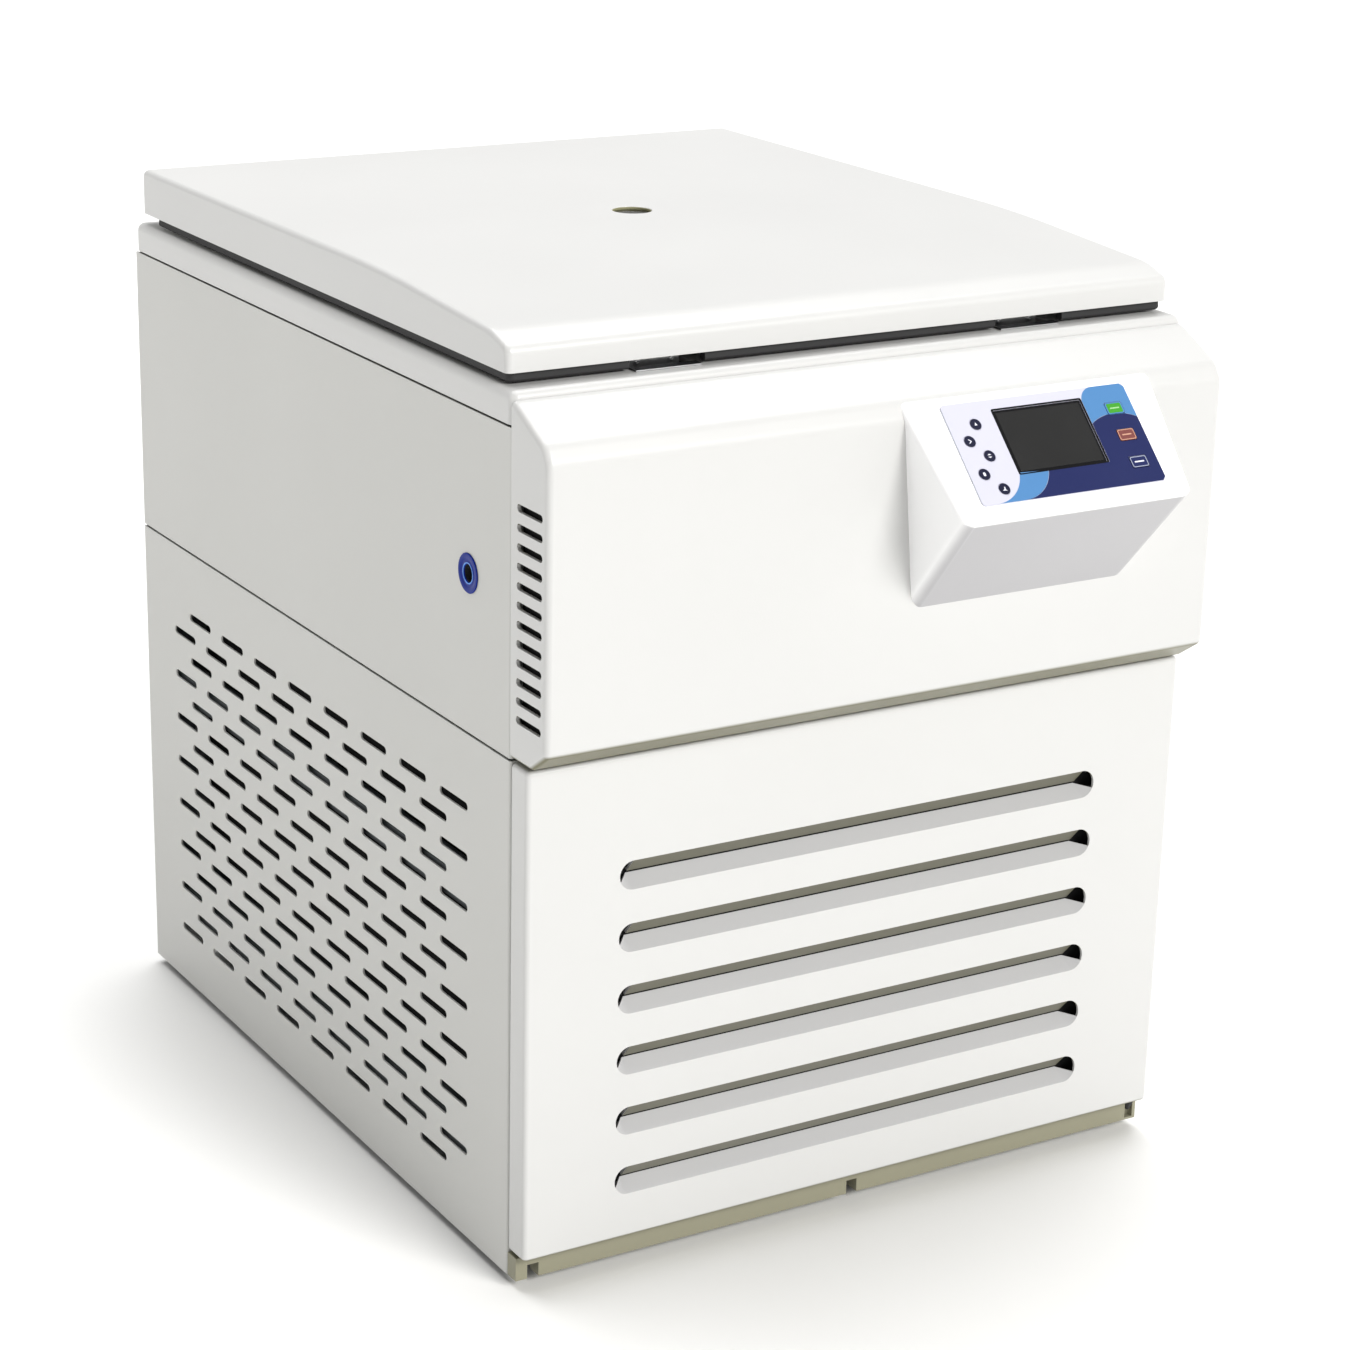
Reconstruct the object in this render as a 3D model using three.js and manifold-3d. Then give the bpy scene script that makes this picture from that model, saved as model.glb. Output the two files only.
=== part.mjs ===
// Floor-standing refrigerated laboratory centrifuge, in millimetres, +Z up.
// The front faces -Y. The origin is on the floor, under the middle of the overall box.
import * as THREE from 'three';
import { mergeVertices } from 'three/addons/utils/BufferGeometryUtils.js';
import { ConvexGeometry } from 'three/addons/geometries/ConvexGeometry.js';
import Module from 'manifold-3d';

const wasm = await Module();
wasm.setup();

// ---------- driving dimensions ----------
const HALF_WIDTH = 310;        // cabinet, X
const FRONT = -300;            // front edge of the side panels, Y
const BACK = 425;              // rear panel's outer face, Y
const SKIRT = 8;               // floor clearance under the panels
const LOW_SEAM = 442;          // seam between lower and upper side panels
const HIGH_SEAM = 700;         // seam under the deck
const DECK = 726;              // deck's top face
const LID_LOW = 735.5;         // lid's lower edge
const TOP = 775;               // lid's top face
const SHEET = 2;               // sheet steel
const SHELL = 3;               // moulded and pressed covers
const SEAM = 1;                // half of a seam's gap
const GAP = 0.3;               // clearance between touching pieces
const AXIS_Y = 65;             // rotor axis is at X 0 and this Y
const HINGE = { y: 404, z: 748 };
const LID_HALF = 306;
const DOOR = { back: -302.5, front: -327, low: 30, high: 440.7 };
const DOOR_PIVOT = { x: 302, y: -312 };
const COVER_FRONT = -356;
const COVER_LOW = 443.7;
const NOSE = { y: -430, z: 618 };      // front edge of the control housing
const CONSOLE_X = 117;                 // middle of the control housing
const FACE_LENGTH = 110;               // its sloping face, front edge to top edge
const FACE_TILT = Math.PI / 4;
const LABEL = { w: 176, h: 90, t: 1.2, margin: 14 };
const LATCH_X = 168;
const LATCH = { y: -286, z: 676 };     // axis of the latch hooks
const WHEEL = { r: 25, w: 22, trail: 22 };
const INLET_X = 210;                   // middle of the mains inlet
const ROCKER_TILT = Math.PI / 20;      // rest position, switched off
const CASTOR_X = 240;
const CASTOR_TOP = 76;
const FLOOR_PLATE = 3;         // thickness of the frame's floor plate
const RING_SIDES = 30;         // facets round the chamber's rings

// ---------- materials ----------
const finish = (color, roughness, metalness = 0) =>
  new THREE.MeshStandardMaterial({ color, roughness, metalness });
const paint = finish(0xecebe4, 0.45);
const frameSteel = finish(0x8d9296, 0.5, 0.6);
const stainless = finish(0xb9bcbf, 0.3, 0.9);
const zinc = finish(0xa9abad, 0.4, 0.8);
const aluminium = finish(0xc4c6c8, 0.35, 0.9);
const copper = finish(0xb87346, 0.35, 0.9);
const blackRubber = finish(0x1c1c1d, 0.8);
const greyRubber = finish(0x5a5a5c, 0.8);
const blackPlastic = finish(0x202124, 0.5);
const whitePlastic = finish(0xeeeef0, 0.4);
const labelFilm = finish(0xe4e4f2, 0.3);
const bluePlastic = finish(0x123a96, 0.35);
const displayGlass = finish(0x3d3d3d, 0.15);
const greenKey = finish(0x4caf2a, 0.4);
const navyKey = finish(0x232b5c, 0.4);
const redKey = finish(0xc8603a, 0.4);
const blackEnamel = finish(0x17181a, 0.35, 0.3);
const clearPlastic = finish(0xd8e4e2, 0.1);

// ---------- solids ----------
// A closed geometry as a solid, with its faces turned outward.
function solid(geometry) {
  let plain = geometry.clone();
  plain.deleteAttribute('normal');
  plain.deleteAttribute('uv');
  plain = mergeVertices(plain, 1e-4);
  const p = plain.attributes.position.array;
  const corner = (i) => new THREE.Vector3(p[3 * i], p[3 * i + 1], p[3 * i + 2]);
  const kept = [];
  let volume = 0;
  const index = plain.index.array;
  for (let i = 0; i < index.length; i += 3) {
    const [a, b, c] = [index[i], index[i + 1], index[i + 2]];
    if (a === b || b === c || c === a) continue;
    kept.push([a, b, c]);
    volume += corner(a).dot(corner(b).cross(corner(c)));
  }
  const triVerts = new Uint32Array(kept.flatMap(([a, b, c]) => (volume < 0 ? [a, c, b] : [a, b, c])));
  return new wasm.Manifold(new wasm.Mesh({ numProp: 3, vertProperties: new Float32Array(p), triVerts }));
}

function toGeometry(manifold) {
  const mesh = manifold.getMesh();
  const geometry = new THREE.BufferGeometry();
  geometry.setAttribute('position', new THREE.BufferAttribute(new Float32Array(mesh.vertProperties), 3));
  geometry.setIndex(new THREE.BufferAttribute(new Uint32Array(mesh.triVerts), 1));
  const faceted = geometry.toNonIndexed();
  faceted.computeVertexNormals();
  return faceted;
}

const union = (...parts) => parts.reduce((a, b) => a.add(b));
const cut = (body, ...tools) => tools.reduce((a, b) => a.subtract(b), body);

function box(x0, x1, y0, y1, z0, z1) {
  const geometry = new THREE.BoxGeometry(x1 - x0, y1 - y0, z1 - z0);
  geometry.translate((x0 + x1) / 2, (y0 + y1) / 2, (z0 + z1) / 2);
  return solid(geometry);
}

const shapeOf = (points) => new THREE.Shape(points.map(([a, b]) => new THREE.Vector2(a, b)));

// Extrudes a shape drawn in the Y-Z plane from x0 to x1.
function prismX(shape, x0, x1) {
  const geometry = new THREE.ExtrudeGeometry(shape, { depth: x1 - x0, bevelEnabled: false });
  const turn = new THREE.Matrix4().makeBasis(
    new THREE.Vector3(0, 1, 0), new THREE.Vector3(0, 0, 1), new THREE.Vector3(1, 0, 0));
  geometry.applyMatrix4(turn);
  geometry.translate(x0, 0, 0);
  return solid(geometry);
}

// Extrudes a shape drawn in the X-Z plane from y0 to y1.
function prismY(shape, y0, y1) {
  const geometry = new THREE.ExtrudeGeometry(shape, { depth: y1 - y0, bevelEnabled: false, curveSegments: 4 });
  geometry.rotateX(Math.PI / 2);
  geometry.translate(0, y1, 0);
  return solid(geometry);
}

// Turns a closed profile of [radius, z] points about the Z axis.
function lathe(profile, segments = 24, x = 0, y = 0) {
  const points = profile.map(([r, z]) => new THREE.Vector2(r, z));
  const onAxis = profile[0][0] === 0 && profile.at(-1)[0] === 0;
  if (!onAxis) points.push(points[0].clone());
  const geometry = new THREE.LatheGeometry(points, segments);
  geometry.rotateX(Math.PI / 2);
  geometry.translate(x, y, 0);
  return solid(geometry);
}

// Cylinder of radius r between a and b along one axis, with its centre line at (u, v) on the others.
function rod(axis, r, a, b, u, v, segments = 20) {
  const geometry = new THREE.CylinderGeometry(r, r, b - a, segments);
  const middle = (a + b) / 2;
  if (axis === 'x') geometry.rotateZ(Math.PI / 2).translate(middle, u, v);
  if (axis === 'y') geometry.translate(u, middle, v);
  if (axis === 'z') geometry.rotateX(Math.PI / 2).translate(u, v, middle);
  return solid(geometry);
}

// A slot outline with round ends, centred on (a, b) and lying along the first axis.
function stadium(a, b, length, height) {
  const r = height / 2;
  const half = length / 2 - r;
  const shape = new THREE.Shape();
  shape.moveTo(a - half, b - r);
  shape.lineTo(a + half, b - r);
  shape.absarc(a + half, b, r, -Math.PI / 2, Math.PI / 2, false);
  shape.lineTo(a - half, b + r);
  shape.absarc(a - half, b, r, Math.PI / 2, (3 * Math.PI) / 2, false);
  return shape;
}

const centrifuge = new THREE.Group();

function add(name, manifold, material, parent = centrifuge) {
  const mesh = new THREE.Mesh(toGeometry(manifold), material);
  mesh.name = name;
  parent.add(mesh);
}

function groupAt(x, y, z) {
  const group = new THREE.Group();
  group.position.set(x, y, z);
  centrifuge.add(group);
  return group;
}

// ---------- welded frame ----------
function makeFrame() {
  const outX = 304;
  const tube = 24;
  const inX = outX - tube;
  const frontY = -288;
  const backY = 412;
  const floorZ = CASTOR_TOP + GAP;
  const topZ = DECK - SHEET - GAP;
  const railZ = 290;
  const latchBeamTop = 664;
  const parts = [box(-outX, outX, frontY, backY, floorZ, floorZ + FLOOR_PLATE)];
  for (const z of [floorZ, railZ, topZ - tube]) {
    parts.push(box(-outX, -inX, frontY, backY, z, z + tube), box(inX, outX, frontY, backY, z, z + tube));
    parts.push(box(-outX, outX, backY - tube, backY, z, z + tube));
  }
  parts.push(box(-outX, outX, frontY, frontY + tube, floorZ, floorZ + tube));
  parts.push(box(-outX, outX, frontY, frontY + tube, latchBeamTop - tube, latchBeamTop));
  for (const x of [-outX, inX]) {
    for (const y of [frontY, backY - tube]) parts.push(box(x, x + tube, y, y + tube, floorZ, topZ));
  }
  for (const y of [AXIS_Y - 110, AXIS_Y + 110]) {
    parts.push(box(-inX, inX, y - tube / 2, y + tube / 2, railZ, railZ + tube));
  }
  for (const side of [-1, 1]) {
    for (const offset of [-26, 20]) {
      const x = side * LATCH_X + offset;
      parts.push(box(x, x + 6, LATCH.y - 8, LATCH.y + 16, latchBeamTop - 9, LATCH.z + 8));
    }
  }
  const bores = [-1, 1].map((side) =>
    rod('x', 4.7, side * LATCH_X - 30, side * LATCH_X + 30, LATCH.y, LATCH.z));
  add('main_frame', cut(union(...parts), ...bores), frameSteel);
}

// ---------- castors: the front pair swivels, the rear pair is fixed ----------
// A 24-sided wheel that stands on a flat facet at z 0.
function wheelBlank(trail) {
  const sides = 24;
  const geometry = new THREE.CylinderGeometry(1, 1, WHEEL.w, sides);
  geometry.rotateZ(Math.PI / 2).rotateX(Math.PI / sides);
  const r = WHEEL.r / Math.cos(Math.PI / sides);
  geometry.scale(1, r, r).translate(0, trail, WHEEL.r);
  return solid(geometry);
}

function makeCastors() {
  const cheek = 3;
  const inner = WHEEL.w / 2 + 1;
  for (const [end, y, trail] of [['front', -225, WHEEL.trail], ['rear', 350, 0]]) {
    for (const [side, x] of [['left', -CASTOR_X], ['right', CASTOR_X]]) {
      const group = groupAt(x, y, 0);
      const parts = [
        rod('z', 22, CASTOR_TOP - 10, CASTOR_TOP, 0, 0),
        box(-inner - cheek, inner + cheek, -14, trail + 14, CASTOR_TOP - 17, CASTOR_TOP - 9),
        rod('x', 4, -inner - 2, inner + 2, trail, WHEEL.r, 12),
      ];
      for (const s of [-1, 1]) {
        const outline = shapeOf([[-14, CASTOR_TOP - 12], [trail - 8, WHEEL.r - 7], [trail + 8, WHEEL.r - 7],
          [trail + 14, CASTOR_TOP - 12]]);
        parts.push(prismX(outline, Math.min(s * inner, s * (inner + cheek)),
          Math.max(s * inner, s * (inner + cheek))));
      }
      const holder = end === 'front' ? 'castor_fork' : 'castor_bracket';
      add(`${holder}_${end}_${side}`, union(...parts), zinc, group);
      const tyre = cut(wheelBlank(trail), rod('x', 4.6, -WHEEL.w, WHEEL.w, trail, WHEEL.r, 12));
      add(`castor_wheel_${end}_${side}`, tyre, greyRubber, group);
    }
  }
}

// ---------- sheet panels ----------
function sidePanel(side, z0, z1) {
  const sheet = box(-HALF_WIDTH, -HALF_WIDTH + SHEET, FRONT, BACK, z0, z1);
  const fold = box(-HALF_WIDTH, -HALF_WIDTH + 14, FRONT, FRONT + SHEET, z0, z1);
  const panel = union(sheet, fold);
  return side === 'left' ? panel : panel.mirror([1, 0, 0]);
}

function makePanels() {
  const slot = { length: 48, height: 5.5, pitchY: 36, pitchZ: 42.3, firstY: -206.7, topZ: 380.5 };
  const columns = 16;
  const rows = 8;
  const ring = { y: -232, z: 571, r: 12 };
  for (const side of ['left', 'right']) {
    const x0 = side === 'left' ? -HALF_WIDTH - 1 : HALF_WIDTH - SHEET - 1;
    const cutters = [];
    for (let column = 0; column < columns; column += 1) {
      const y = slot.firstY + column * slot.pitchY;
      for (let row = 0; row < rows; row += 1) {
        const z = slot.topZ - (row + (column % 2) / 2) * slot.pitchZ;
        cutters.push(box(x0, x0 + SHEET + 2, y - slot.length / 2, y + slot.length / 2,
          z - slot.height / 2, z + slot.height / 2));
      }
    }
    const perforation = wasm.Manifold.compose(cutters);
    add(`${side}_lower_panel`, cut(sidePanel(side, SKIRT, LOW_SEAM - SEAM), perforation), paint);
    let upper = sidePanel(side, LOW_SEAM + SEAM, HIGH_SEAM - SEAM);
    if (side === 'left') {
      upper = cut(upper, rod('x', ring.r, -HALF_WIDTH - 5, -HALF_WIDTH + 5, ring.y, ring.z, 24));
    }
    add(`${side}_upper_panel`, upper, paint);
  }

  const ringShape = cut(
    union(rod('x', 15.8, -HALF_WIDTH - 1.2, -HALF_WIDTH - GAP, ring.y, ring.z, 24),
      rod('x', ring.r - 0.5, -HALF_WIDTH - 1, -HALF_WIDTH + 12, ring.y, ring.z, 24)),
    rod('x', 6, -HALF_WIDTH - 5, -HALF_WIDTH + 20, ring.y, ring.z, 16));
  add('release_ring', ringShape, bluePlastic);

  const inside = HALF_WIDTH - SHEET - GAP;
  let rear = box(-inside, inside, BACK - SHEET, BACK, SKIRT, HIGH_SEAM - SEAM);
  const exhaust = { count: 14, pitch: 28, width: 8, low: 200, high: 290 };
  for (let i = 0; i < exhaust.count; i += 1) {
    const x = (i - (exhaust.count - 1) / 2) * exhaust.pitch;
    rear = cut(rear, box(x - exhaust.width / 2, x + exhaust.width / 2, BACK - 5, BACK + 5, exhaust.low, exhaust.high));
  }
  rear = cut(rear, box(INLET_X - 21, INLET_X + 21, BACK - 5, BACK + 5, 107, 173));
  add('rear_panel', rear, paint);

  let plinth = box(-HALF_WIDTH + 0.5, HALF_WIDTH - 0.5, -314, FRONT - GAP, SKIRT, DOOR.low - 2);
  for (const x of [-299, 4]) plinth = cut(plinth, box(x, x + 10, -320, -290, 0, 20));
  plinth = cut(plinth, rod('z', 4.5, 10, 40, DOOR_PIVOT.x, DOOR_PIVOT.y, 16));
  add('front_plinth', plinth, paint);
}

// ---------- front cover ----------
const coverOutline = (grow) => shapeOf([
  [FRONT - GAP, 719.5 + grow], [-305, 718.5 + grow], [-348 - grow * 0.4, 697 + grow],
  [COVER_FRONT - grow, 684], [COVER_FRONT - grow, 461], [-331, COVER_LOW - grow], [FRONT - GAP, COVER_LOW - grow]]);

function makeCover() {
  const hollow = shapeOf([[FRONT + 1, 716], [-306, 715.2], [-346.4, 694.4], [COVER_FRONT + SHELL, 683],
    [COVER_FRONT + SHELL, 462.5], [-330, COVER_LOW + SHELL], [FRONT + 1, COVER_LOW + SHELL]]);
  const vent = { y: -328.5, length: 38, height: 5, topZ: 642, pitch: 14.9 };
  let cover = cut(prismX(coverOutline(0), -HALF_WIDTH, HALF_WIDTH),
    prismX(hollow, -HALF_WIDTH + SHELL, HALF_WIDTH - SHELL));
  const vents = [];
  for (let i = 0; i < 12; i += 1) {
    const z = vent.topZ - i * vent.pitch;
    vents.push(box(-HALF_WIDTH - 5, HALF_WIDTH + 5, vent.y - vent.length / 2, vent.y + vent.length / 2,
      z - vent.height / 2, z + vent.height / 2));
  }
  cover = cut(cover, wasm.Manifold.compose(vents));
  add('front_cover', cover, paint);
}

// ---------- control housing, label, display and keys ----------
function wedge(inset, top, bottom) {
  const c = Math.cos(FACE_TILT);
  const points = [];
  const edges = [
    [109 - inset, NOSE.y + inset * 1.4, NOSE.z],
    [120 - inset, NOSE.y + top * c, NOSE.z + top * c - inset * 1.4],
    [120 - inset, NOSE.y + top * c + 12, NOSE.z + top * c - inset * 1.4],
    [103 - inset, COVER_FRONT + 10, bottom + inset],
  ];
  for (const [half, y, z] of edges) {
    for (const s of [-1, 1]) points.push(new THREE.Vector3(CONSOLE_X + s * half, y, z));
  }
  return solid(new ConvexGeometry(points));
}

function makeConsole() {
  const face = groupAt(CONSOLE_X, NOSE.y + (LABEL.margin + LABEL.h / 2) * Math.cos(FACE_TILT),
    NOSE.z + (LABEL.margin + LABEL.h / 2) * Math.sin(FACE_TILT));
  face.rotation.x = FACE_TILT;
  face.updateMatrixWorld();
  const inFace = (manifold) => manifold.transform(face.matrixWorld.toArray());

  const border = 5;
  const coverGrown = prismX(coverOutline(GAP), -HALF_WIDTH, HALF_WIDTH);
  const window = inFace(box(-LABEL.w / 2 + border, LABEL.w / 2 - border,
    -LABEL.h / 2 + border, LABEL.h / 2 - border, -30, 5));
  const housing = cut(wedge(0, FACE_LENGTH, 518), coverGrown, wedge(SHELL, FACE_LENGTH, 518), window);
  add('control_housing', housing.decompose().sort((a, b) => b.volume() - a.volume())[0], whitePlastic);

  const u = (x) => x - LABEL.w / 2;
  const v = (y) => y - LABEL.h / 2;
  const round = [[24.8, 70], [12.9, 56], [24.8, 41.5], [12.9, 26.5], [24.8, 12]];
  const square = [['start', 68.5, greenKey], ['stop', 44, redKey], ['open', 19, navyKey]];
  const squareX = 158;
  const keySize = { r: 5.2, w: 16, h: 10, play: 0.5, proud: 1.9, behind: 3 };
  const display = { x0: 45, x1: 129, y0: 23, y1: 80 };
  let label = box(-LABEL.w / 2, LABEL.w / 2, -LABEL.h / 2, LABEL.h / 2, GAP, GAP + LABEL.t);
  label = cut(label, box(u(display.x0), u(display.x1), v(display.y0), v(display.y1), -1, 5));
  for (const [x, y] of round) label = cut(label, rod('z', keySize.r + keySize.play, -1, 5, u(x), v(y), 16));
  for (const [, y] of square) {
    const [w, h] = [keySize.w / 2 + keySize.play, keySize.h / 2 + keySize.play];
    label = cut(label, box(u(squareX) - w, u(squareX) + w, v(y) - h, v(y) + h, -1, 5));
  }
  add('control_label', label, labelFilm, face);
  const rim = 3;
  add('lcd_display', box(u(display.x0) - rim, u(display.x1) + rim, v(display.y0) - rim, v(display.y1) + rim,
    -4.5, -GAP), displayGlass, face);
  round.forEach(([x, y], i) => {
    add(`key_round_${i + 1}`, rod('z', keySize.r, -keySize.behind, keySize.proud, u(x), v(y), 16), navyKey, face);
  });
  for (const [name, y, material] of square) {
    add(`key_${name}`, box(u(squareX) - keySize.w / 2, u(squareX) + keySize.w / 2,
      v(y) - keySize.h / 2, v(y) + keySize.h / 2, -keySize.behind, keySize.proud), material, face);
  }
}

// ---------- deck, chamber and seal ----------
function makeChamber() {
  const low = HIGH_SEAM + 0.7;
  const edge = 3;
  const sideOutline = shapeOf([[-HALF_WIDTH, low], [HALF_WIDTH, low], [HALF_WIDTH, DECK - edge],
    [HALF_WIDTH - edge, DECK], [-HALF_WIDTH + edge, DECK], [-HALF_WIDTH, DECK - edge]]);
  const frontOutline = shapeOf([[FRONT, low], [BACK, low], [BACK, DECK - edge], [BACK - edge, DECK],
    [FRONT + edge, DECK], [FRONT, DECK - edge]]);
  const slots = [-1, 1].map((s) => box(s * LATCH_X - 29, s * LATCH_X + 29, -272, -242, low, DECK + 5));
  const chamfered = prismY(sideOutline, FRONT, BACK).intersect(prismX(frontOutline, -HALF_WIDTH, HALF_WIDTH));
  const hollow = box(-HALF_WIDTH + SHEET, HALF_WIDTH - SHEET, FRONT + SHEET, BACK - SHEET, low - 5, DECK - SHEET);
  const deck = cut(chamfered, hollow, rod('z', 211.5, low, DECK + 5, 0, AXIS_Y, RING_SIDES), ...slots);
  add('top_deck', deck, paint);

  const rim = DECK + GAP;
  add('chamber_bowl', lathe([[32, 510], [190, 510], [207.5, 527], [207.5, rim], [222, rim], [222, rim + 2],
    [205, rim + 2], [205, 528], [189, 512.5], [32, 512.5]], RING_SIDES, 0, AXIS_Y), stainless);
  add('chamber_gasket', lathe([[209, rim + 2.3], [221, rim + 2.3], [219, rim + 10.8], [211, rim + 10.8]],
    RING_SIDES, 0, AXIS_Y), blackRubber);

  const coil = [[209.6, 690], [209.6, 534]];
  for (let turn = 0; turn < 5; turn += 1) {
    const z = 534 + turn * 31;
    coil.push([211, z], [218, z + 12], [211, z + 24]);
  }
  add('evaporator_coil', lathe(coil, RING_SIDES, 0, AXIS_Y), copper);
  add('armour_ring', lathe([[236, 520], [242, 520], [242, 690], [236, 690]], RING_SIDES, 0, AXIS_Y), frameSteel);
}

// ---------- drive ----------
function makeDrive() {
  const plateTop = 320.3;
  add('motor_plate', box(-130, 130, AXIS_Y - 130, AXIS_Y + 130, plateTop - 6, plateTop), frameSteel);
  for (let i = 0; i < 3; i += 1) {
    const angle = Math.PI / 2 + (i * 2 * Math.PI) / 3;
    add(`motor_damper_${i + 1}`, lathe([[0, plateTop + GAP], [14, plateTop + GAP], [11, plateTop + 7],
      [14, plateTop + 14.4], [0, plateTop + 14.4]], 16, 88 * Math.cos(angle), AXIS_Y + 88 * Math.sin(angle)),
    blackRubber);
  }
  const foot = plateTop + 14.7;
  add('drive_motor', lathe([[0, foot], [106, foot], [106, foot + 8], [78, foot + 8], [78, 470], [60, 482],
    [28, 486], [28, 504], [0, 504]], 24, 0, AXIS_Y), blackEnamel);
  add('spindle', lathe([[0, 504.6], [9, 504.6], [9, 560], [7.5, 590], [0, 590]], 16, 0, AXIS_Y), stainless);
}

// ---------- fixed-angle rotor ----------
function makeRotor() {
  const group = groupAt(0, AXIS_Y, 0);
  const pocket = { r: 27, depth: 100, tilt: (25 * Math.PI) / 180, mouthR: 72, topZ: 668 };
  let rotor = lathe([[0, 545], [60, 545], [150, 560], [152, 600], [105, pocket.topZ], [0, pocket.topZ]], 36);
  rotor = cut(rotor, lathe([[0, 540], [9.6, 540], [9.6, 560], [8.1, 592], [0, 592]], 16));
  rotor = cut(rotor, rod('z', 6.6, 650, 680, 0, 0, 16));
  for (let i = 0; i < 6; i += 1) {
    const bore = new THREE.CylinderGeometry(pocket.r, pocket.r, pocket.depth + 20, 20);
    bore.rotateX(Math.PI / 2);
    bore.translate(0, 0, 10 - pocket.depth / 2);
    bore.rotateY(-pocket.tilt);
    bore.translate(pocket.mouthR, 0, pocket.topZ);
    bore.rotateZ((i * Math.PI) / 3);
    rotor = cut(rotor, solid(bore));
  }
  add('rotor', rotor, aluminium, group);
  add('rotor_lid', lathe([[8, 668.4], [108, 668.4], [108, 672], [100, 678], [30, 682], [8, 682]], 24),
    aluminium, group);
  add('rotor_knob', lathe([[0, 652], [6, 652], [6, 682.4], [20, 682.4], [22, 686], [22, 700], [18, 704],
    [0, 704]], 18), blackPlastic, group);
}

// ---------- lid, hinges and latches ----------
const lidOutline = (inset) => shapeOf([
  [416 - inset, inset ? 730 : LID_LOW], [416 - inset, 769 - inset], [410 - inset, TOP - inset],
  [-73, TOP - inset], [-258, 763.5 - inset], [-276 + inset, 758 - inset], [-284 + inset, 748],
  [-284 + inset, inset ? 730 : LID_LOW]]);

function makeLid() {
  let lid = cut(prismX(lidOutline(0), -LID_HALF, LID_HALF),
    prismX(lidOutline(SHELL), -LID_HALF + SHELL, LID_HALF - SHELL));
  const lugOutline = shapeOf([[HINGE.y - 12, TOP - 2], [HINGE.y - 9, HINGE.z - 8], [HINGE.y + 6, HINGE.z - 8],
    [HINGE.y + 9, TOP - 2]]);
  for (const x of [-200, 200]) {
    lid = union(lid, prismX(lugOutline, x - 22, x - 11), prismX(lugOutline, x + 11, x + 22));
    lid = cut(lid, box(x - 10.6, x + 10.6, HINGE.y + 2, 420, 730, HINGE.z + 8),
      rod('x', 5.5, x - 24, x + 24, HINGE.y, HINGE.z));
  }
  const portR = 17.1;
  add('lid_shell', cut(lid, rod('z', portR, 700, 800, 0, AXIS_Y, 24)), paint);

  const plateLow = 737.5;
  const liner = union(box(-300, 300, -278, 385, plateLow, plateLow + 3),
    lathe([[0, 722], [194, 722], [200, 728], [200, plateLow + 1], [0, plateLow + 1]], RING_SIDES, 0, AXIS_Y));
  add('lid_liner', cut(liner, rod('z', portR, 700, 800, 0, AXIS_Y, 24)), stainless);
  add('view_port', lathe([[0, 722.5], [16.6, 722.5], [16.6, 773], [14, 773], [14, 727], [0, 727]],
    24, 0, AXIS_Y), clearPlastic);

  for (const [side, s] of [['left', -1], ['right', 1]]) {
    const x = s * LATCH_X;
    add(`lid_striker_${side}`, cut(box(x - 22, x + 22, -261, -253, 680, plateLow - GAP),
      box(x - 16.5, x + 16.5, -270, -240, 686, 708)), zinc);
    const hook = union(
      prismX(shapeOf([[-5, -6], [5, -6], [5, 22], [10, 27], [10, 34], [-5, 34]]), -14, 14),
      rod('x', 4, -25, 25, 0, 0, 16));
    add(`latch_hook_${side}`, hook, zinc, groupAt(x, LATCH.y, LATCH.z));

    const bracketX = s * 200;
    const foot = box(-20, 20, -14, 6, DECK + GAP - HINGE.z, DECK + 3 - HINGE.z);
    const web = prismX(shapeOf([[-9, DECK + 1 - HINGE.z], [5, DECK + 1 - HINGE.z], [7, 4], [0, 8], [-7, 4]]),
      -10, 10);
    add(`hinge_bracket_${side}`, union(foot, web, rod('x', 5, -22, 22, 0, 0)), zinc,
      groupAt(bracketX, HINGE.y, HINGE.z));
  }
}

// ---------- hinged louvred door ----------
function makeDoor() {
  const louvre = { length: 456, height: 24, topZ: 341.6, pitch: 52.2, count: 6 };
  let door = cut(
    box(-HALF_WIDTH + 0.5, HALF_WIDTH, DOOR.front, -306, DOOR.low, DOOR.high),
    box(-HALF_WIDTH + 0.5 + SHELL, HALF_WIDTH - SHELL, DOOR.front + SHELL, DOOR.back + 1,
      DOOR.low + SHELL, DOOR.high - SHELL));
  door = union(door, box(-HALF_WIDTH + 0.5, -HALF_WIDTH + 0.5 + SHELL, DOOR.front, DOOR.back,
    DOOR.low, DOOR.high));
  for (let i = 0; i < louvre.count; i += 1) {
    const z = louvre.topZ - i * louvre.pitch;
    const r = louvre.height / 2;
    door = cut(door, prismY(stadium(0, z, louvre.length, louvre.height), DOOR.front - 5, DOOR.front + 5));
    const blade = shapeOf([[DOOR.front + 2, z - r - 5], [DOOR.front + 2, z - r], [-308, z + r - 2],
      [-308, z + r + 2], [-306, z + r + 2], [-306, z + r - 4]]);
    door = union(door, prismX(blade, -HALF_WIDTH + 2, HALF_WIDTH - 1));
  }
  add('front_door', door, paint);
  add('door_pivot_pin', lathe([[0, DOOR.low - 8], [2, DOOR.low - 8], [4, DOOR.low - 1.5], [4, DOOR.low - GAP],
    [0, DOOR.low - GAP]], 12, DOOR_PIVOT.x, DOOR_PIVOT.y), blackRubber);
}

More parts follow.
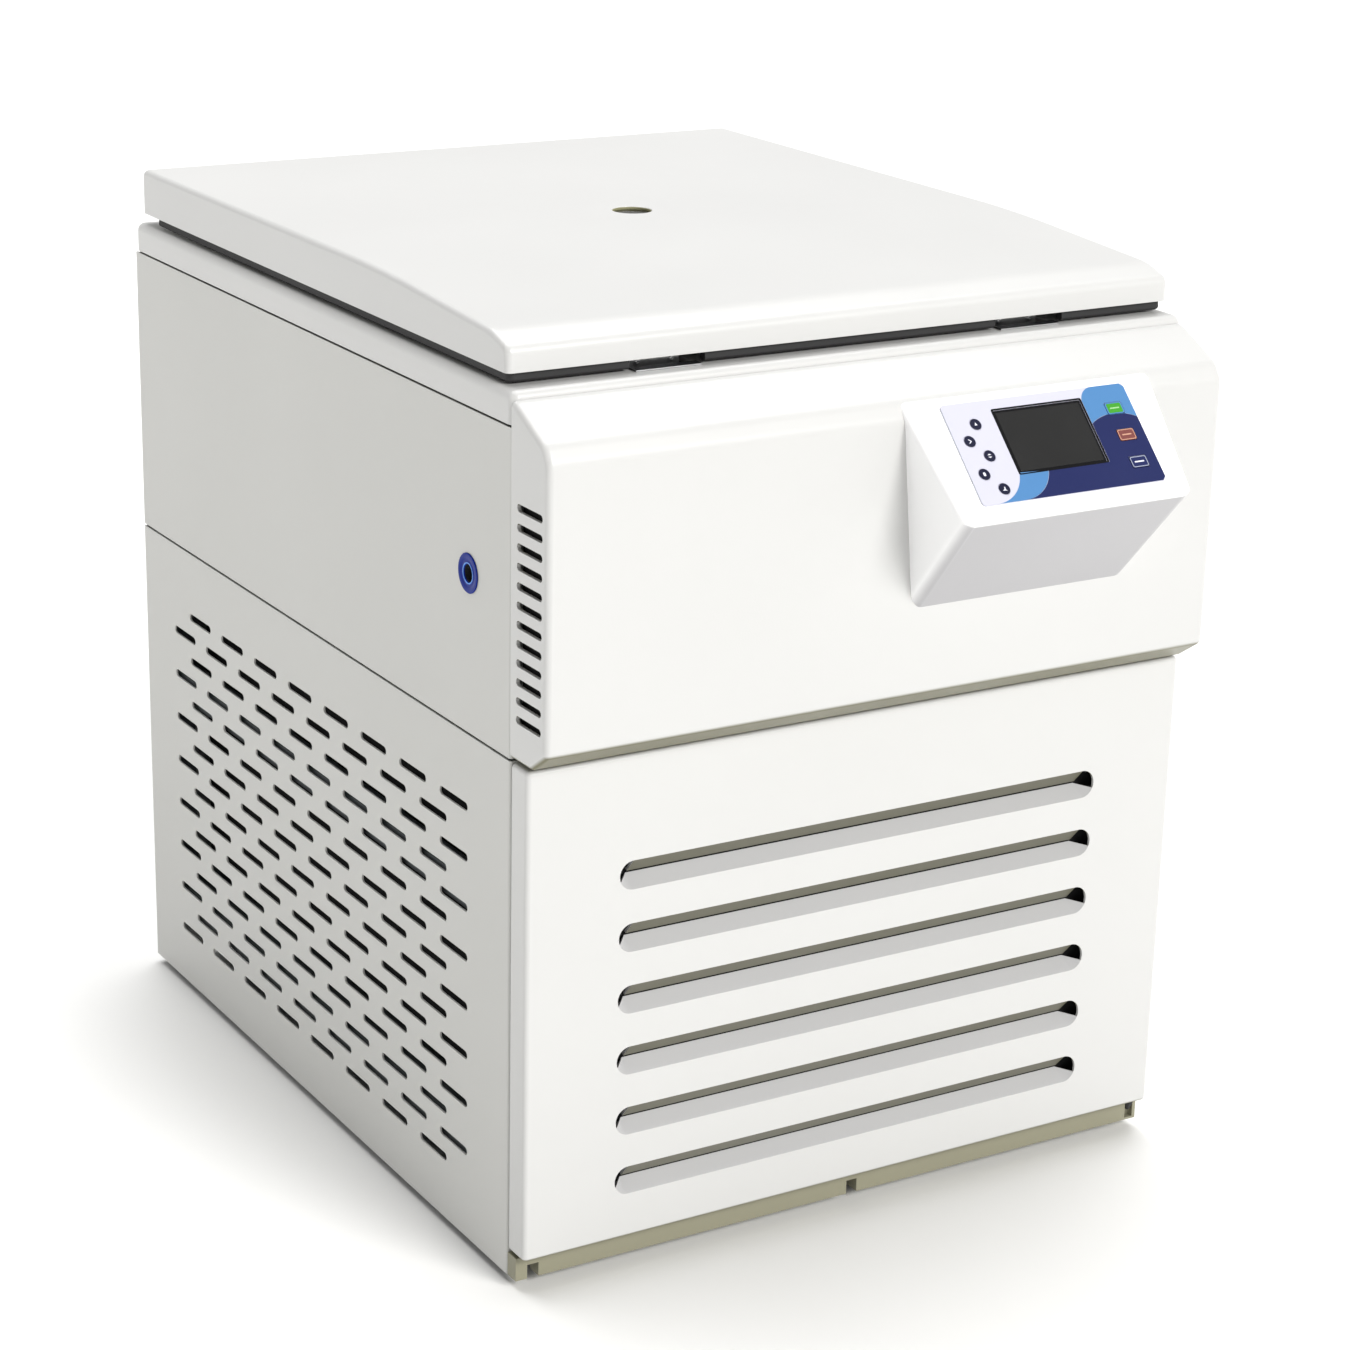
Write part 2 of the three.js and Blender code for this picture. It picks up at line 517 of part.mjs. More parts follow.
// ---------- cooling and electrics ----------
function makeMachinery() {
  const floor = CASTOR_TOP + FLOOR_PLATE + 2 * GAP;
  add('compressor', lathe([[0, floor], [70, floor], [88, floor + 22], [88, 232], [70, 258], [30, 270], [0, 270]],
    28, 130, 250), blackEnamel);
  add('condenser', box(-230, 230, -262, -222, 101, 400), aluminium);
  const fan = { z: 250, r: 126 };
  add('fan_shroud', cut(box(-190, 190, -221.7, -182, 101, 399),
    rod('y', 132, -230, -170, 0, fan.z, 32), box(-186, 186, -218.7, -170, 105, 395)
      .subtract(rod('y', 136, -230, -160, 0, fan.z, 32))), blackPlastic);
  const wheel = groupAt(0, -199, fan.z);
  const blades = [rod('y', 30, -12, 12, 0, 0, 20)];
  for (let i = 0; i < 5; i += 1) {
    const blade = new THREE.BoxGeometry(96, 3, 50);
    blade.rotateX(0.42);
    blade.translate(fan.r - 56, 0, 0);
    blade.rotateY((i * 2 * Math.PI) / 5);
    blades.push(solid(blade));
  }
  add('cooling_fan', union(...blades), blackPlastic, wheel);
  add('inverter_box', box(-200, 200, -262, -205, 430, 620), zinc);

  const module = union(box(INLET_X - 20, INLET_X + 20, 395, BACK + 2, 108, 172),
    box(INLET_X - 26, INLET_X + 26, BACK + GAP, 430, 102, 178));
  const socket = box(INLET_X - 14, INLET_X + 14, 412, 440, 112, 136);
  const well = box(INLET_X - 11, INLET_X + 11, 412, 440, 146, 168);
  add('power_inlet', cut(module, socket, well), blackPlastic);
  const rocker = groupAt(INLET_X, BACK - 1.5, 157);
  rocker.rotation.x = -ROCKER_TILT;
  add('mains_rocker', prismX(shapeOf([[-8, -9], [4, -9], [5, 0], [4, 9], [-8, 9]]), -10, 10), blackPlastic, rocker);
}

makeFrame();
makeCastors();
makePanels();
makeCover();
makeConsole();
makeChamber();
makeDrive();
makeRotor();
makeLid();
makeDoor();
makeMachinery();

export default centrifuge;
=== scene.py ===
# Floor-standing refrigerated laboratory centrifuge: looks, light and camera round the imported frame.
import math

import bmesh
import bpy
from mathutils import Matrix, Vector
from mathutils.geometry import tessellate_polygon


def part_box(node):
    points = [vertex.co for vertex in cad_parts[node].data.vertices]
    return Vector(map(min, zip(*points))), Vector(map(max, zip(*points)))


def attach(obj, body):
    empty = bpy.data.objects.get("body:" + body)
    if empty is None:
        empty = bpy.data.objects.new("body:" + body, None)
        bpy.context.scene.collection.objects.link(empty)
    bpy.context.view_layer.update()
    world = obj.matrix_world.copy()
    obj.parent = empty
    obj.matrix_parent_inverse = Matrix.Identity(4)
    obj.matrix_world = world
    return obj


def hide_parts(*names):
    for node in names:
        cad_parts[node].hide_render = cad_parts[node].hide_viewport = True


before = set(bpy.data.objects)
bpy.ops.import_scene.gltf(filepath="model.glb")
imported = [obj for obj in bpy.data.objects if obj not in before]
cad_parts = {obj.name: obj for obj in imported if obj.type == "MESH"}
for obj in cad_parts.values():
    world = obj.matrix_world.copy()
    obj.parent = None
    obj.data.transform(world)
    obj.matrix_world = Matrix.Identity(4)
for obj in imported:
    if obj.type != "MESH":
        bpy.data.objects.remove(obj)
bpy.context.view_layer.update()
scene = bpy.context.scene

MM = 0.001
PI = math.pi
SIDES = (("left", -1), ("right", 1))
Z_AXIS = Vector((0, 0, 1))
ALONG_X = Matrix.Rotation(PI / 2, 4, "Y")
ALONG_Y = Matrix.Rotation(-PI / 2, 4, "X")


# ---------- sizes and places, in millimetres: +X right, -Y front, +Z up ----------
def cad_box(node):
    """Lowest and highest corners of a CAD node at rest."""
    return [[round(c / MM, 2) for c in corner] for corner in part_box(node)]


def centre_of(node):
    low, high = cad_box(node)
    return [(a + b) / 2 for a, b in zip(low, high)]


# the right side sheet gives the flange's inner edge, the front, half the width and the back
(FLANGE, FRONT, _), (HALF, BACK, _) = cad_box("right_lower_panel")
DECK_TOP = cad_box("top_deck")[1][2]
AXIS = centre_of("rotor")[:2]                      # rotor axis, X and Y
LATCH_X = centre_of("lid_striker_right")[0]
HINGE_X = centre_of("hinge_bracket_right")[0]
HINGE_Y, HINGE_Z = 404, 748
RING_Y, RING_Z = centre_of("release_ring")[1:]
INLET_X, _, INLET_Z = centre_of("power_inlet")
FAN_Y, FAN_Z = centre_of("cooling_fan")[1], centre_of("fan_shroud")[2]

# slots of the lower side sheets: half a step along Y, a band's height, first slot, top of the first band
SLOT_STEP, SLOT_BAND, SLOT_START, SLOT_TOP = 36, 21.15, -242.7, 391.075
SLOT_BANDS, SLOTS_IN_BAND = 16, 8
SLOT_REACH, SLOT_RADIUS, SLOT_ARC = 20.5, 3.5, 6

# the label lies on the control housing's sloping face; U runs right and V up from its lower left corner
FACE = Matrix.Translation((117, -388.28, 659.72)) @ Matrix.Rotation(PI / 4, 4, "X")
LABEL_W, LABEL_H = 176, 90
LCD = (45, 129, 23, 80)
ROUND_KEYS = [(24.8, 70), (12.9, 56), (24.8, 41.5), (12.9, 26.5), (24.8, 12)]
SQUARE_KEYS = {"key_start": 68.5, "key_stop": 44, "key_open": 19}
KEY_U, KEY_HALF_W, KEY_HALF_H = 158, 8, 5


# ---------- shader trees ----------
def set_inputs(tree, node, inputs):
    """An input takes a plain value, or another node's output."""
    for name, value in inputs.items():
        if isinstance(value, bpy.types.NodeSocket):
            tree.links.new(value, node.inputs[name])
        else:
            node.inputs[name].default_value = value


def add_node(tree, kind, inputs=None, **settings):
    """Adds a node and gives its outputs."""
    node = tree.nodes.new(f"ShaderNode{kind}")
    for key, value in settings.items():
        setattr(node, key, value)
    set_inputs(tree, node, inputs or {})
    return node.outputs


def ramp(tree, value, start, end, low=0, high=1, **settings):
    return add_node(tree, "MapRange", {"Value": value, "From Min": start, "From Max": end,
                                       "To Min": low, "To Max": high}, **settings)["Result"]


def blend_color(tree, factor, a, b):
    return add_node(tree, "Mix", {"Factor": factor, "A": a, "B": b}, data_type="RGBA")["Result"]


finishes = {}


def material(name, base, rough, metal=0.0, grain=900, bump=0.08, tint=0.025, spread=0.05, coat=0.0,
             stretch=(1, 1, 1), cloud=6, deep=0.0004, ior=1.45, alpha=None, anisotropic=0.0,
             speck=None, painted_underside_shade=None):
    """Colour and roughness drift in large soft clouds; a fine grain gives the surface its texture.
    Faces that look down are darkened towards the given colour: painted shade."""
    mat = finishes[name] = bpy.data.materials.new(name)
    mat.use_nodes = True
    tree = mat.node_tree
    coords = add_node(tree, "TexCoord")
    clouds = add_node(tree, "TexNoise", {"Vector": coords["Object"], "Scale": cloud, "Detail": 5})["Fac"]
    mapped = add_node(tree, "Mapping", {"Vector": coords["Object"], "Scale": stretch})["Vector"]
    fine = add_node(tree, "TexNoise", {"Vector": mapped, "Scale": grain, "Detail": 3})["Fac"]
    dark, light = ((*(min(1, c * drift) for c in base), 1) for drift in (1 - tint, 1 + tint))
    color = blend_color(tree, clouds, dark, light)
    if speck:
        color = blend_color(tree, ramp(tree, fine, 0.56, 0.7), color, (*speck, 1))
    if painted_underside_shade:
        # painted shade: faces that look down are blended towards the given dark colour
        upward = add_node(tree, "SeparateXYZ", {"Vector": coords["Normal"]})["Z"]
        color = blend_color(tree, ramp(tree, upward, -0.3, -0.7), color, (*painted_underside_shade, 1))
    gloss = ramp(tree, fine if metal > 0.5 else clouds, 0.3, 0.7, max(0.02, rough - spread), rough + spread)
    relief = add_node(tree, "Bump", {"Strength": bump, "Distance": deep, "Height": fine})["Normal"]
    set_inputs(tree, tree.nodes["Principled BSDF"], {
        "Base Color": color, "Roughness": gloss, "Normal": relief, "Metallic": metal, "IOR": ior,
        "Coat Weight": coat, "Coat Roughness": 0.12, "Anisotropic": anisotropic,
        "Alpha": alpha or 1, "Transmission Weight": 0.6 if alpha else 0})


def ink(name, base, tint=0.025, rough=0.35, bump=0.12):
    """Printed film and keys."""
    material(name, base, rough, grain=2200, bump=bump, tint=tint)


def make_materials():
    material("floor", (0.84, 0.84, 0.83), 0.8, grain=60, bump=0.02, tint=0.01)
    # paint and covers
    material("powder_coat", (0.53, 0.53, 0.511), 0.42, grain=1100, bump=0.25, tint=0.02, deep=0.0003)
    # the cover paint, with a dark olive painted shade on faces that look down
    material("cover_paint", (0.557, 0.557, 0.55), 0.34, grain=700, bump=0.12, tint=0.015, coat=0.15,
             painted_underside_shade=(0.105, 0.097, 0.034))
    # the louvre pockets' grey is partly their own paint and partly painted shade for the recess; faces that
    # look down take a darker olive painted shade
    material("louvre_grey_and_painted_shade", (0.49, 0.49, 0.495), 0.4, grain=700, bump=0.12, tint=0.02,
             painted_underside_shade=(0.078, 0.073, 0.034))
    # dark olive painted shade for the plinth, standing in for the shade under the door's overhang
    material("plinth_painted_shade", (0.25, 0.24, 0.17), 0.45, grain=1100, bump=0.25, tint=0.03, deep=0.0003)
    material("frame_steel", (0.19, 0.205, 0.22), 0.5, grain=800, bump=0.3, tint=0.08)
    material("black_enamel", (0.012, 0.012, 0.013), 0.28, grain=350, bump=0.15, tint=0.2, coat=0.4)
    # label, display and keys
    ink("label_film", (0.54, 0.54, 0.625), 0.015, 0.3, 0.1)
    ink("print_sky", (0.073, 0.203, 0.42), 0.04, 0.3, 0.1)
    ink("print_navy", (0.012, 0.018, 0.085), 0.08, 0.3, 0.1)
    ink("print_white", (0.7, 0.71, 0.77), bump=0.1)
    ink("key_green", (0.045, 0.28, 0.02), 0.06)
    ink("print_lime", (0.3, 0.55, 0.25))
    ink("key_orange", (0.17, 0.05, 0.045), 0.06)
    ink("print_peach", (0.5, 0.27, 0.19))
    ink("print_grey", (0.3, 0.33, 0.42))
    ink("key_navy", (0.006, 0.007, 0.028), 0.1)
    material("display", (0.021, 0.021, 0.021), 0.16, grain=3000, bump=0.03, tint=0.12, cloud=20, coat=0.4)
    material("display_border", (0.006, 0.006, 0.007), 0.2, grain=3000, bump=0.05, tint=0.2)
    # metals
    material("zinc_steel", (0.55, 0.56, 0.57), 0.32, metal=1, grain=300, tint=0.08, cloud=60)
    material("stainless", (0.62, 0.63, 0.64), 0.26, metal=1, grain=140, bump=0.06, spread=0.08,
             stretch=(1, 1, 22), anisotropic=0.5)
    material("aluminium", (0.6, 0.61, 0.63), 0.3, metal=1, grain=500, bump=0.07, spread=0.07,
             stretch=(1, 1, 9), cloud=20)
    material("heat_exchanger", (0.74, 0.75, 0.76), 0.42, metal=0.8, grain=260, bump=0.2, tint=0.08,
             cloud=40, speck=(0.55, 0.55, 0.54))
    material("copper", (0.68, 0.31, 0.17), 0.3, metal=1, grain=200, bump=0.1, tint=0.18, cloud=50)
    material("brass", (0.72, 0.5, 0.24), 0.3, metal=1, grain=300, tint=0.1)
    # plastics, rubber and foam
    # the console plastic, with a grey painted shade on faces that look down
    material("console_plastic", (0.96, 0.96, 0.965), 0.32, grain=1500, bump=0.15, tint=0.012,
             painted_underside_shade=(0.33, 0.325, 0.34))
    material("liner_plastic", (0.62, 0.63, 0.63), 0.36, grain=1200, bump=0.12, tint=0.012, spread=0.02)
    material("black_plastic", (0.016, 0.016, 0.018), 0.42, grain=1300, bump=0.3, tint=0.15)
    material("blue_plastic", (0.002, 0.016, 0.21), 0.3, grain=1200, bump=0.12, tint=0.15, ior=1.2)
    # lighter blue painted highlight, for the release ring's inner lip
    material("blue_plastic_painted_highlight", (0.07, 0.24, 0.7), 0.25, grain=1200, bump=0.1, tint=0.1)
    material("clear_plastic", (0.012, 0.012, 0.011), 0.12, grain=1500, bump=0.03, alpha=0.55)
    # olive painted shade for the view port's sleeve
    material("port_sleeve_painted_shade", (0.28, 0.27, 0.15), 0.45, grain=1200, bump=0.15, tint=0.08)
    material("black_rubber", (0.018, 0.018, 0.019), 0.68, bump=0.3, tint=0.2)
    material("grey_tyre", (0.085, 0.085, 0.087), 0.7, grain=700, bump=0.35, tint=0.15,
             speck=(0.15, 0.14, 0.13))
    material("pipe_foam", (0.01, 0.01, 0.011), 0.85, grain=500, bump=0.6, tint=0.25)
    for name, base in (("wire_red", (0.38, 0.02, 0.015)), ("wire_blue", (0.015, 0.06, 0.32)),
                       ("wire_green", (0.1, 0.3, 0.04))):
        material(name, base, 0.4, grain=1200, bump=0.15, tint=0.1)


# ---------- camera, light and floor ----------
def make_camera():
    """The photograph's camera, as fitted to the cabinet's edges and corners."""
    azimuth, elevation, roll = (math.radians(a) for a in (-31.14, 18.49, 1.32))
    turns = ((azimuth, "Z"), (PI / 2 - elevation, "X"), (roll, "Z"))
    camera = bpy.data.objects.new("camera", bpy.data.cameras.new("camera"))
    camera.matrix_world = Matrix.Translation((-1.39861, -2.33902, 1.28488))
    for angle, axis in turns:
        camera.matrix_world @= Matrix.Rotation(angle, 4, axis)
    camera.data.lens = 87.09
    camera.data.sensor_width = 36
    camera.data.clip_end = 100
    scene.collection.objects.link(camera)
    scene.camera = camera


def soft_sun(name, toward, strength, softness, color):
    """A broad studio light that comes from the direction toward."""
    light = bpy.data.lights.new(name, "SUN")
    light.energy = strength
    light.angle = math.radians(softness)
    light.color = color
    obj = bpy.data.objects.new(name, light)
    obj.rotation_euler = (-Vector(toward)).to_track_quat("-Z", "Y").to_euler()
    scene.collection.objects.link(obj)


def make_light():
    """A pale backdrop round the horizon, dimmer overhead, and two broad suns."""
    world = bpy.data.worlds.new("studio")
    world.use_nodes = True
    tree = world.node_tree
    direction = add_node(tree, "TexCoord")["Generated"]
    height = add_node(tree, "SeparateXYZ", {"Vector": direction})["Z"]
    strength = ramp(tree, height, 0, 0.9, 0.88, 0.1, interpolation_type="SMOOTHSTEP")
    set_inputs(tree, tree.nodes["Background"], {"Color": (1.0, 0.995, 0.985, 1), "Strength": strength})
    scene.world = world
    soft_sun("key", (0.25, -0.82, 0.52), 2.7, 24, (1.0, 0.99, 0.97))
    soft_sun("top", (0.1, 0.35, 0.93), 3.1, 60, (1.0, 1.0, 1.0))
    scene.view_settings.view_transform = "Standard"


def make_floor():
    bm = bmesh.new()
    bmesh.ops.create_grid(bm, x_segments=8, y_segments=8, size=30 / MM)
    mesh = mesh_from("floor", bm)
    mesh.materials.append(finishes["floor"])
    floor = bpy.data.objects.new("floor", mesh)
    scene.collection.objects.link(floor)


# ---------- pieces ----------
def round_edges(obj, bevel, segments, angle):
    edge = obj.modifiers.new("edges", "BEVEL")
    edge.width = bevel * MM
    edge.segments = segments
    edge.limit_method = "ANGLE"
    edge.angle_limit = math.radians(angle)


def new_piece(name, mesh, looks, stands_for=None, body="cabinet", slot=None, angle=38, shell=0,
              bevel=0.0, segments=2):
    """A piece in the named finishes; its slot argument is not used."""
    obj = bpy.data.objects.new(name, mesh)
    scene.collection.objects.link(obj)
    looks = [looks] if isinstance(looks, str) else looks
    for look in looks:
        mesh.materials.append(finishes[look])
    mesh.shade_smooth()
    mesh.set_sharp_from_angle(angle=math.radians(angle))
    if shell:
        solid = obj.modifiers.new("sheet", "SOLIDIFY")
        solid.thickness = shell * MM
        solid.offset = -1
        solid.use_even_offset = True
    if bevel:
        round_edges(obj, bevel, segments, angle)
    obj.modifiers.new("normals", "WEIGHTED_NORMAL").keep_sharp = True
    if stands_for:
        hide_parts(stands_for)
    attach(obj, body)
    return obj


def mesh_from(name, bm):
    """Makes a mesh in metres and frees the bmesh, which is in millimetres."""
    bmesh.ops.scale(bm, vec=(MM, MM, MM), verts=bm.verts)
    mesh = bpy.data.meshes.new(name)
    bm.to_mesh(mesh)
    bm.free()
    return mesh


def piece(name, bm, looks, stands_for=None, open_skin=False, **options):
    bmesh.ops.recalc_face_normals(bm, faces=bm.faces)
    if open_skin:
        centre = sum((v.co for v in bm.verts), Vector()) / len(bm.verts)
        if sum((f.calc_center_median() - centre).dot(f.normal) * f.calc_area() for f in bm.faces) < 0:
            bmesh.ops.reverse_faces(bm, faces=bm.faces)
    return new_piece(name, mesh_from(name, bm), looks, stands_for, **options)


def dress(node, look, bevel=0.6, segments=2, angle=32):
    """A CAD node keeps its shape and gets worn-in edges and its own finish."""
    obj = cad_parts[node]
    obj.data.materials.clear()
    obj.data.materials.append(finishes[look])
    obj.modifiers.new("weld", "WELD").merge_threshold = 1e-5
    round_edges(obj, bevel, segments, angle)
    obj.modifiers.new("normals", "WEIGHTED_NORMAL").keep_sharp = True


# ---------- outlines ----------
def ring(radius, steps, centre=(0, 0), start=0.0):
    turns = (start + 2 * PI * k / steps for k in range(steps))
    return [(centre[0] + radius * math.cos(t), centre[1] + radius * math.sin(t)) for t in turns]


def fillet(points, radii, steps=6):
    """Rounds the inner corners of an open line of (a, b) points."""
    points = [Vector(p) for p in points]
    out = [points[0]]
    for before, corner, after, radius in zip(points, points[1:], points[2:], radii):
        a, b = (before - corner).normalized(), (after - corner).normalized()
        if not radius or a.dot(b) < -0.9999:
            out.append(corner)
            continue
        half = a.angle(b) / 2
        centre = corner + (a + b).normalized() * (radius / math.sin(half))
        reach = radius / math.tan(half)
        start, end = corner + a * reach - centre, corner + b * reach - centre
        turn = math.atan2(start.x * end.y - start.y * end.x, start.dot(end))
        for k in range(steps + 1):
            t = turn * k / steps
            out.append(centre + Vector((start.x * math.cos(t) - start.y * math.sin(t),
                                        start.x * math.sin(t) + start.y * math.cos(t))))
    return out + [points[-1]]


def loop_fillet(points, radius, steps=5):
    """Rounds every corner of a closed outline."""
    closed = [points[-1], *points, points[0]]
    return fillet(closed, [radius] * len(points), steps)[1:-1]


def rect(a0, a1, b0, b1, r=0, steps=4):
    corners = [Vector(p) for p in ((a0, b0), (a1, b0), (a1, b1), (a0, b1))]
    return loop_fillet(corners, r, steps) if r else corners


def block(a, b, half_a, half_b, r=0, steps=4):
    """A rectangle round its centre (a, b)."""
    return rect(a - half_a, a + half_a, b - half_b, b + half_b, r, steps)


def stadium(a, b, length, height, steps=6):
    r = height / 2
    half = length / 2 - r
    turns = [PI * k / steps for k in range(steps + 1)]
    right = [(a + half + r * math.sin(t), b - r * math.cos(t)) for t in turns]
    left = [(a - half - r * math.sin(t), b + r * math.cos(t)) for t in turns]
    return right + left


def arc(p, q, bulge, steps=14):
    """Points on a circular arc; a positive bulge is to the left of the way from p to q."""
    p, q = Vector(p), Vector(q)
    chord = q - p
    half = chord.length / 2
    radius = (half * half + bulge * bulge) / (2 * abs(bulge))
    left = Vector((-chord.y, chord.x)).normalized() * (1 if bulge > 0 else -1)
    centre = (p + q) / 2 + left * (abs(bulge) - radius)
    span = math.asin(min(1, half / radius))
    turns = (span * (2 * k / steps - 1) for k in range(steps + 1))
    return [centre + left * (radius * math.cos(t)) + chord.normalized() * (radius * math.sin(t))
            for t in turns]


def inset(points, distance):
    """Moves an open line to its inner side; the inside is on the left of the way it runs."""
    normals = []
    for p, q in zip(points, points[1:]):
        d = (q - p).normalized()
        normals.append(Vector((-d.y, d.x)))
    out = []
    for p, a, b in zip(points, [normals[0], *normals], [*normals, normals[-1]]):
        m = (a + b).normalized()
        out.append(p + m * (distance / m.dot(b)))
    return out


def smooth_path(points, steps=10):
    """Catmull-Rom line through the points."""
    points = [Vector(p) for p in points]
    ends = [points[0] * 2 - points[1], *points, points[-1] * 2 - points[-2]]
    out = []
    for a, b, c, d in zip(ends, ends[1:], ends[2:], ends[3:]):
        for t in (k / steps for k in range(steps)):
            out.append(0.5 * (2 * b + (c - a) * t + (2 * a - 5 * b + 4 * c - d) * t * t
                              + (3 * b - a - 3 * c + d) * t ** 3))
    return out + [points[-1]]


def mirrored(half):
    """A wheel's (radius, height) outline from its upper half."""
    return [(r, -h) for r, h in half] + half[::-1]


# ---------- frames for flat and turned shapes ----------
def upright(x, y, z=0):
    return Matrix.Translation((x, y, z))


def facing(place, normal):
    """A frame at place whose Z axis is the normal."""
    return Matrix.Translation(place) @ Vector(normal).to_track_quat("Z", "Y").to_matrix().to_4x4()


def xz_plane(y=0):
    """An outline's (a, b) are X and Z, and it rises along Y from y."""
    return Matrix(((1, 0, 0, 0), (0, 0, 1, y), (0, 1, 0, 0), (0, 0, 0, 1)))


def yz_plane(s=1):
    """An outline's (a, b) are Y and Z, and it rises along X, or along -X where s is -1."""
    return Matrix(((0, 0, s, 0), (1, 0, 0, 0), (0, 1, 0, 0), (0, 0, 0, 1)))


ON_AXIS = upright(*AXIS)


# ---------- solids and skins ----------
def skin(bm, rows, closed=False, index=0, ends=False):
    """Quads between rows of vertices, and a face on each end row where ends is set. Closed rows come
    back to their first vertex."""
    for a, b in zip(rows, rows[1:]):
        for i in range(len(a) if closed else len(a) - 1):
            j = (i + 1) % len(a)
            bm.faces.new((a[i], a[j], b[j], b[i])).material_index = index
    for row in (rows[0], rows[-1]) if ends else ():
        bm.faces.new(row).material_index = index


def cover_skin(profile, x0, x1, edge, steps=4):
    """Outer skin of a pressed or moulded cover: a (y, z) line swept along X, its ends rounded and closed."""
    turns = [PI / 2 * k / steps for k in range(steps, -1, -1)]
    sections = [(x0 + edge * (1 - math.sin(t)), edge * (1 - math.cos(t))) for t in turns]
    sections += [(x0 + x1 - x, d) for x, d in reversed(sections)]
    bm = bmesh.new()
    rows = [[bm.verts.new((x, p.x, p.y)) for p in inset(profile, d)] for x, d in sections]
    skin(bm, rows, ends=True)
    bm.normal_update()
    return bm


def flat_face(bm, normal):
    """The largest of the outermost faces that look along normal."""
    normal = Vector(normal)
    square = [f for f in bm.faces if abs(f.normal.dot(normal)) > 0.999]
    far = max(f.calc_center_median().dot(normal) for f in square)
    outermost = (f for f in square if f.calc_center_median().dot(normal) > far - 0.5)
    return max(outermost, key=lambda f: f.calc_area())


def pierce(bm, face, holes, outline=None):
    """Gives a flat face holes, or a new outline that keeps its corners; returns each hole's vertices."""
    outer = list(face.verts)
    if outline:
        known = {tuple(round(c, 2) for c in v.co): v for v in outer}
        outer = [known.get(tuple(round(c, 2) for c in p)) or bm.verts.new(p) for p in outline]
    loops = [outer] + [[bm.verts.new(p) for p in hole] for hole in holes]
    bm.faces.remove(face)
    flat = [v for loop in loops for v in loop]
    for tri in tessellate_polygon([[v.co for v in loop] for loop in loops]):
        bm.faces.new([flat[i] for i in tri])
    return loops[1:]


def add_plate(bm, outer, holes, low, high, matrix=Matrix(), index=0):
    """A flat plate with holes, drawn in the matrix's X-Y plane, from low to high along its Z."""
    layers = []
    for z in (low, high):
        loops = [[bm.verts.new(matrix @ Vector((p[0], p[1], z))) for p in loop] for loop in (outer, *holes)]
        flat = [v for loop in loops for v in loop]
        for tri in tessellate_polygon([[(p[0], p[1], 0) for p in loop] for loop in (outer, *holes)]):
            bm.faces.new([flat[i] for i in tri]).material_index = index
        layers.append(loops)
    for wall in zip(*layers):
        skin(bm, wall, True, index)


def add_box(bm, x0, x1, y0, y1, z0, z1):
    add_plate(bm, rect(x0, x1, y0, y1), (), z0, z1)


def add_lathe(bm, profile, matrix=Matrix(), steps=96, index=0, wave=None):
    """Turns an outline of (radius, height) points about the matrix's Z axis. It closes on itself, unless
    it starts and ends on the axis. The function wave(radius, height, angle) moves points in and out."""
    rings = []
    for r, h in profile:
        if r < 1e-6:
            rings.append([bm.verts.new(matrix @ Vector((0, 0, h)))] * steps)
            continue
        row = []
        for t in (2 * PI * k / steps for k in range(steps)):
            q = r + (wave(r, h, t) if wave else 0)
            row.append(bm.verts.new(matrix @ Vector((q * math.cos(t), q * math.sin(t), h))))
        rings.append(row)
    if profile[0][0] > 1e-6 or profile[-1][0] > 1e-6:
        rings.append(rings[0])
    for a, b in zip(rings, rings[1:]):
        for k in range(steps):
            j = (k + 1) % steps
            corners = list(dict.fromkeys([a[k], a[j], b[j], b[k]]))
            if len(corners) > 2:
                bm.faces.new(corners).material_index = index


def add_tube(bm, points, radius, steps=12, index=0):
    """A round bar along a line of points, with closed ends."""
    points = [Vector(p) for p in points]
    rows, side = [], None
    for i, p in enumerate(points):
        along = (points[min(i + 1, len(points) - 1)] - points[max(i - 1, 0)]).normalized()
        if side is None:
            side = along.orthogonal().normalized()
        side = (side - along * side.dot(along)).normalized()
        other = along.cross(side)
        rows.append([bm.verts.new(p + side * a + other * b) for a, b in ring(radius, steps)])
    skin(bm, rows, True, index, True)


# a screw's rings, in head radii: radius, height, and whether the ring is a hexagon
SCREW_RINGS = [(1.35, -0.2, 0), (1.35, 0.12, 0), (1.28, 0.18, 0), (1.0, 0.18, 0), (0.98, 0.36, 0),
               (0.84, 0.54, 0), (0.62, 0.62, 0), (0.5, 0.62, 1), (0.48, 0.25, 1)]


def add_screw(bm, place, normal, radius, index=0, steps=24):
    """A low domed head with a hexagonal socket, standing on a thin washer."""
    matrix = facing(place, normal)
    rows = []
    for r, h, six in SCREW_RINGS:
        row = []
        for t in (2 * PI * k / steps for k in range(steps)):
            q = radius * r * (math.cos(PI / 6) / math.cos(t % (PI / 3) - PI / 6) if six else 1)
            row.append(bm.verts.new(matrix @ Vector((q * math.cos(t), q * math.sin(t), h * radius))))
        rows.append(row)
    skin(bm, rows, True, index, True)


def screws(name, normal, groups, body="cabinet"):
    """One piece of zinc screws, from groups of (radius, places)."""
    bm = bmesh.new()
    for radius, places in groups:
        for place in places:
            add_screw(bm, place, normal, radius)
    piece(name, bm, "zinc_steel", body=body)


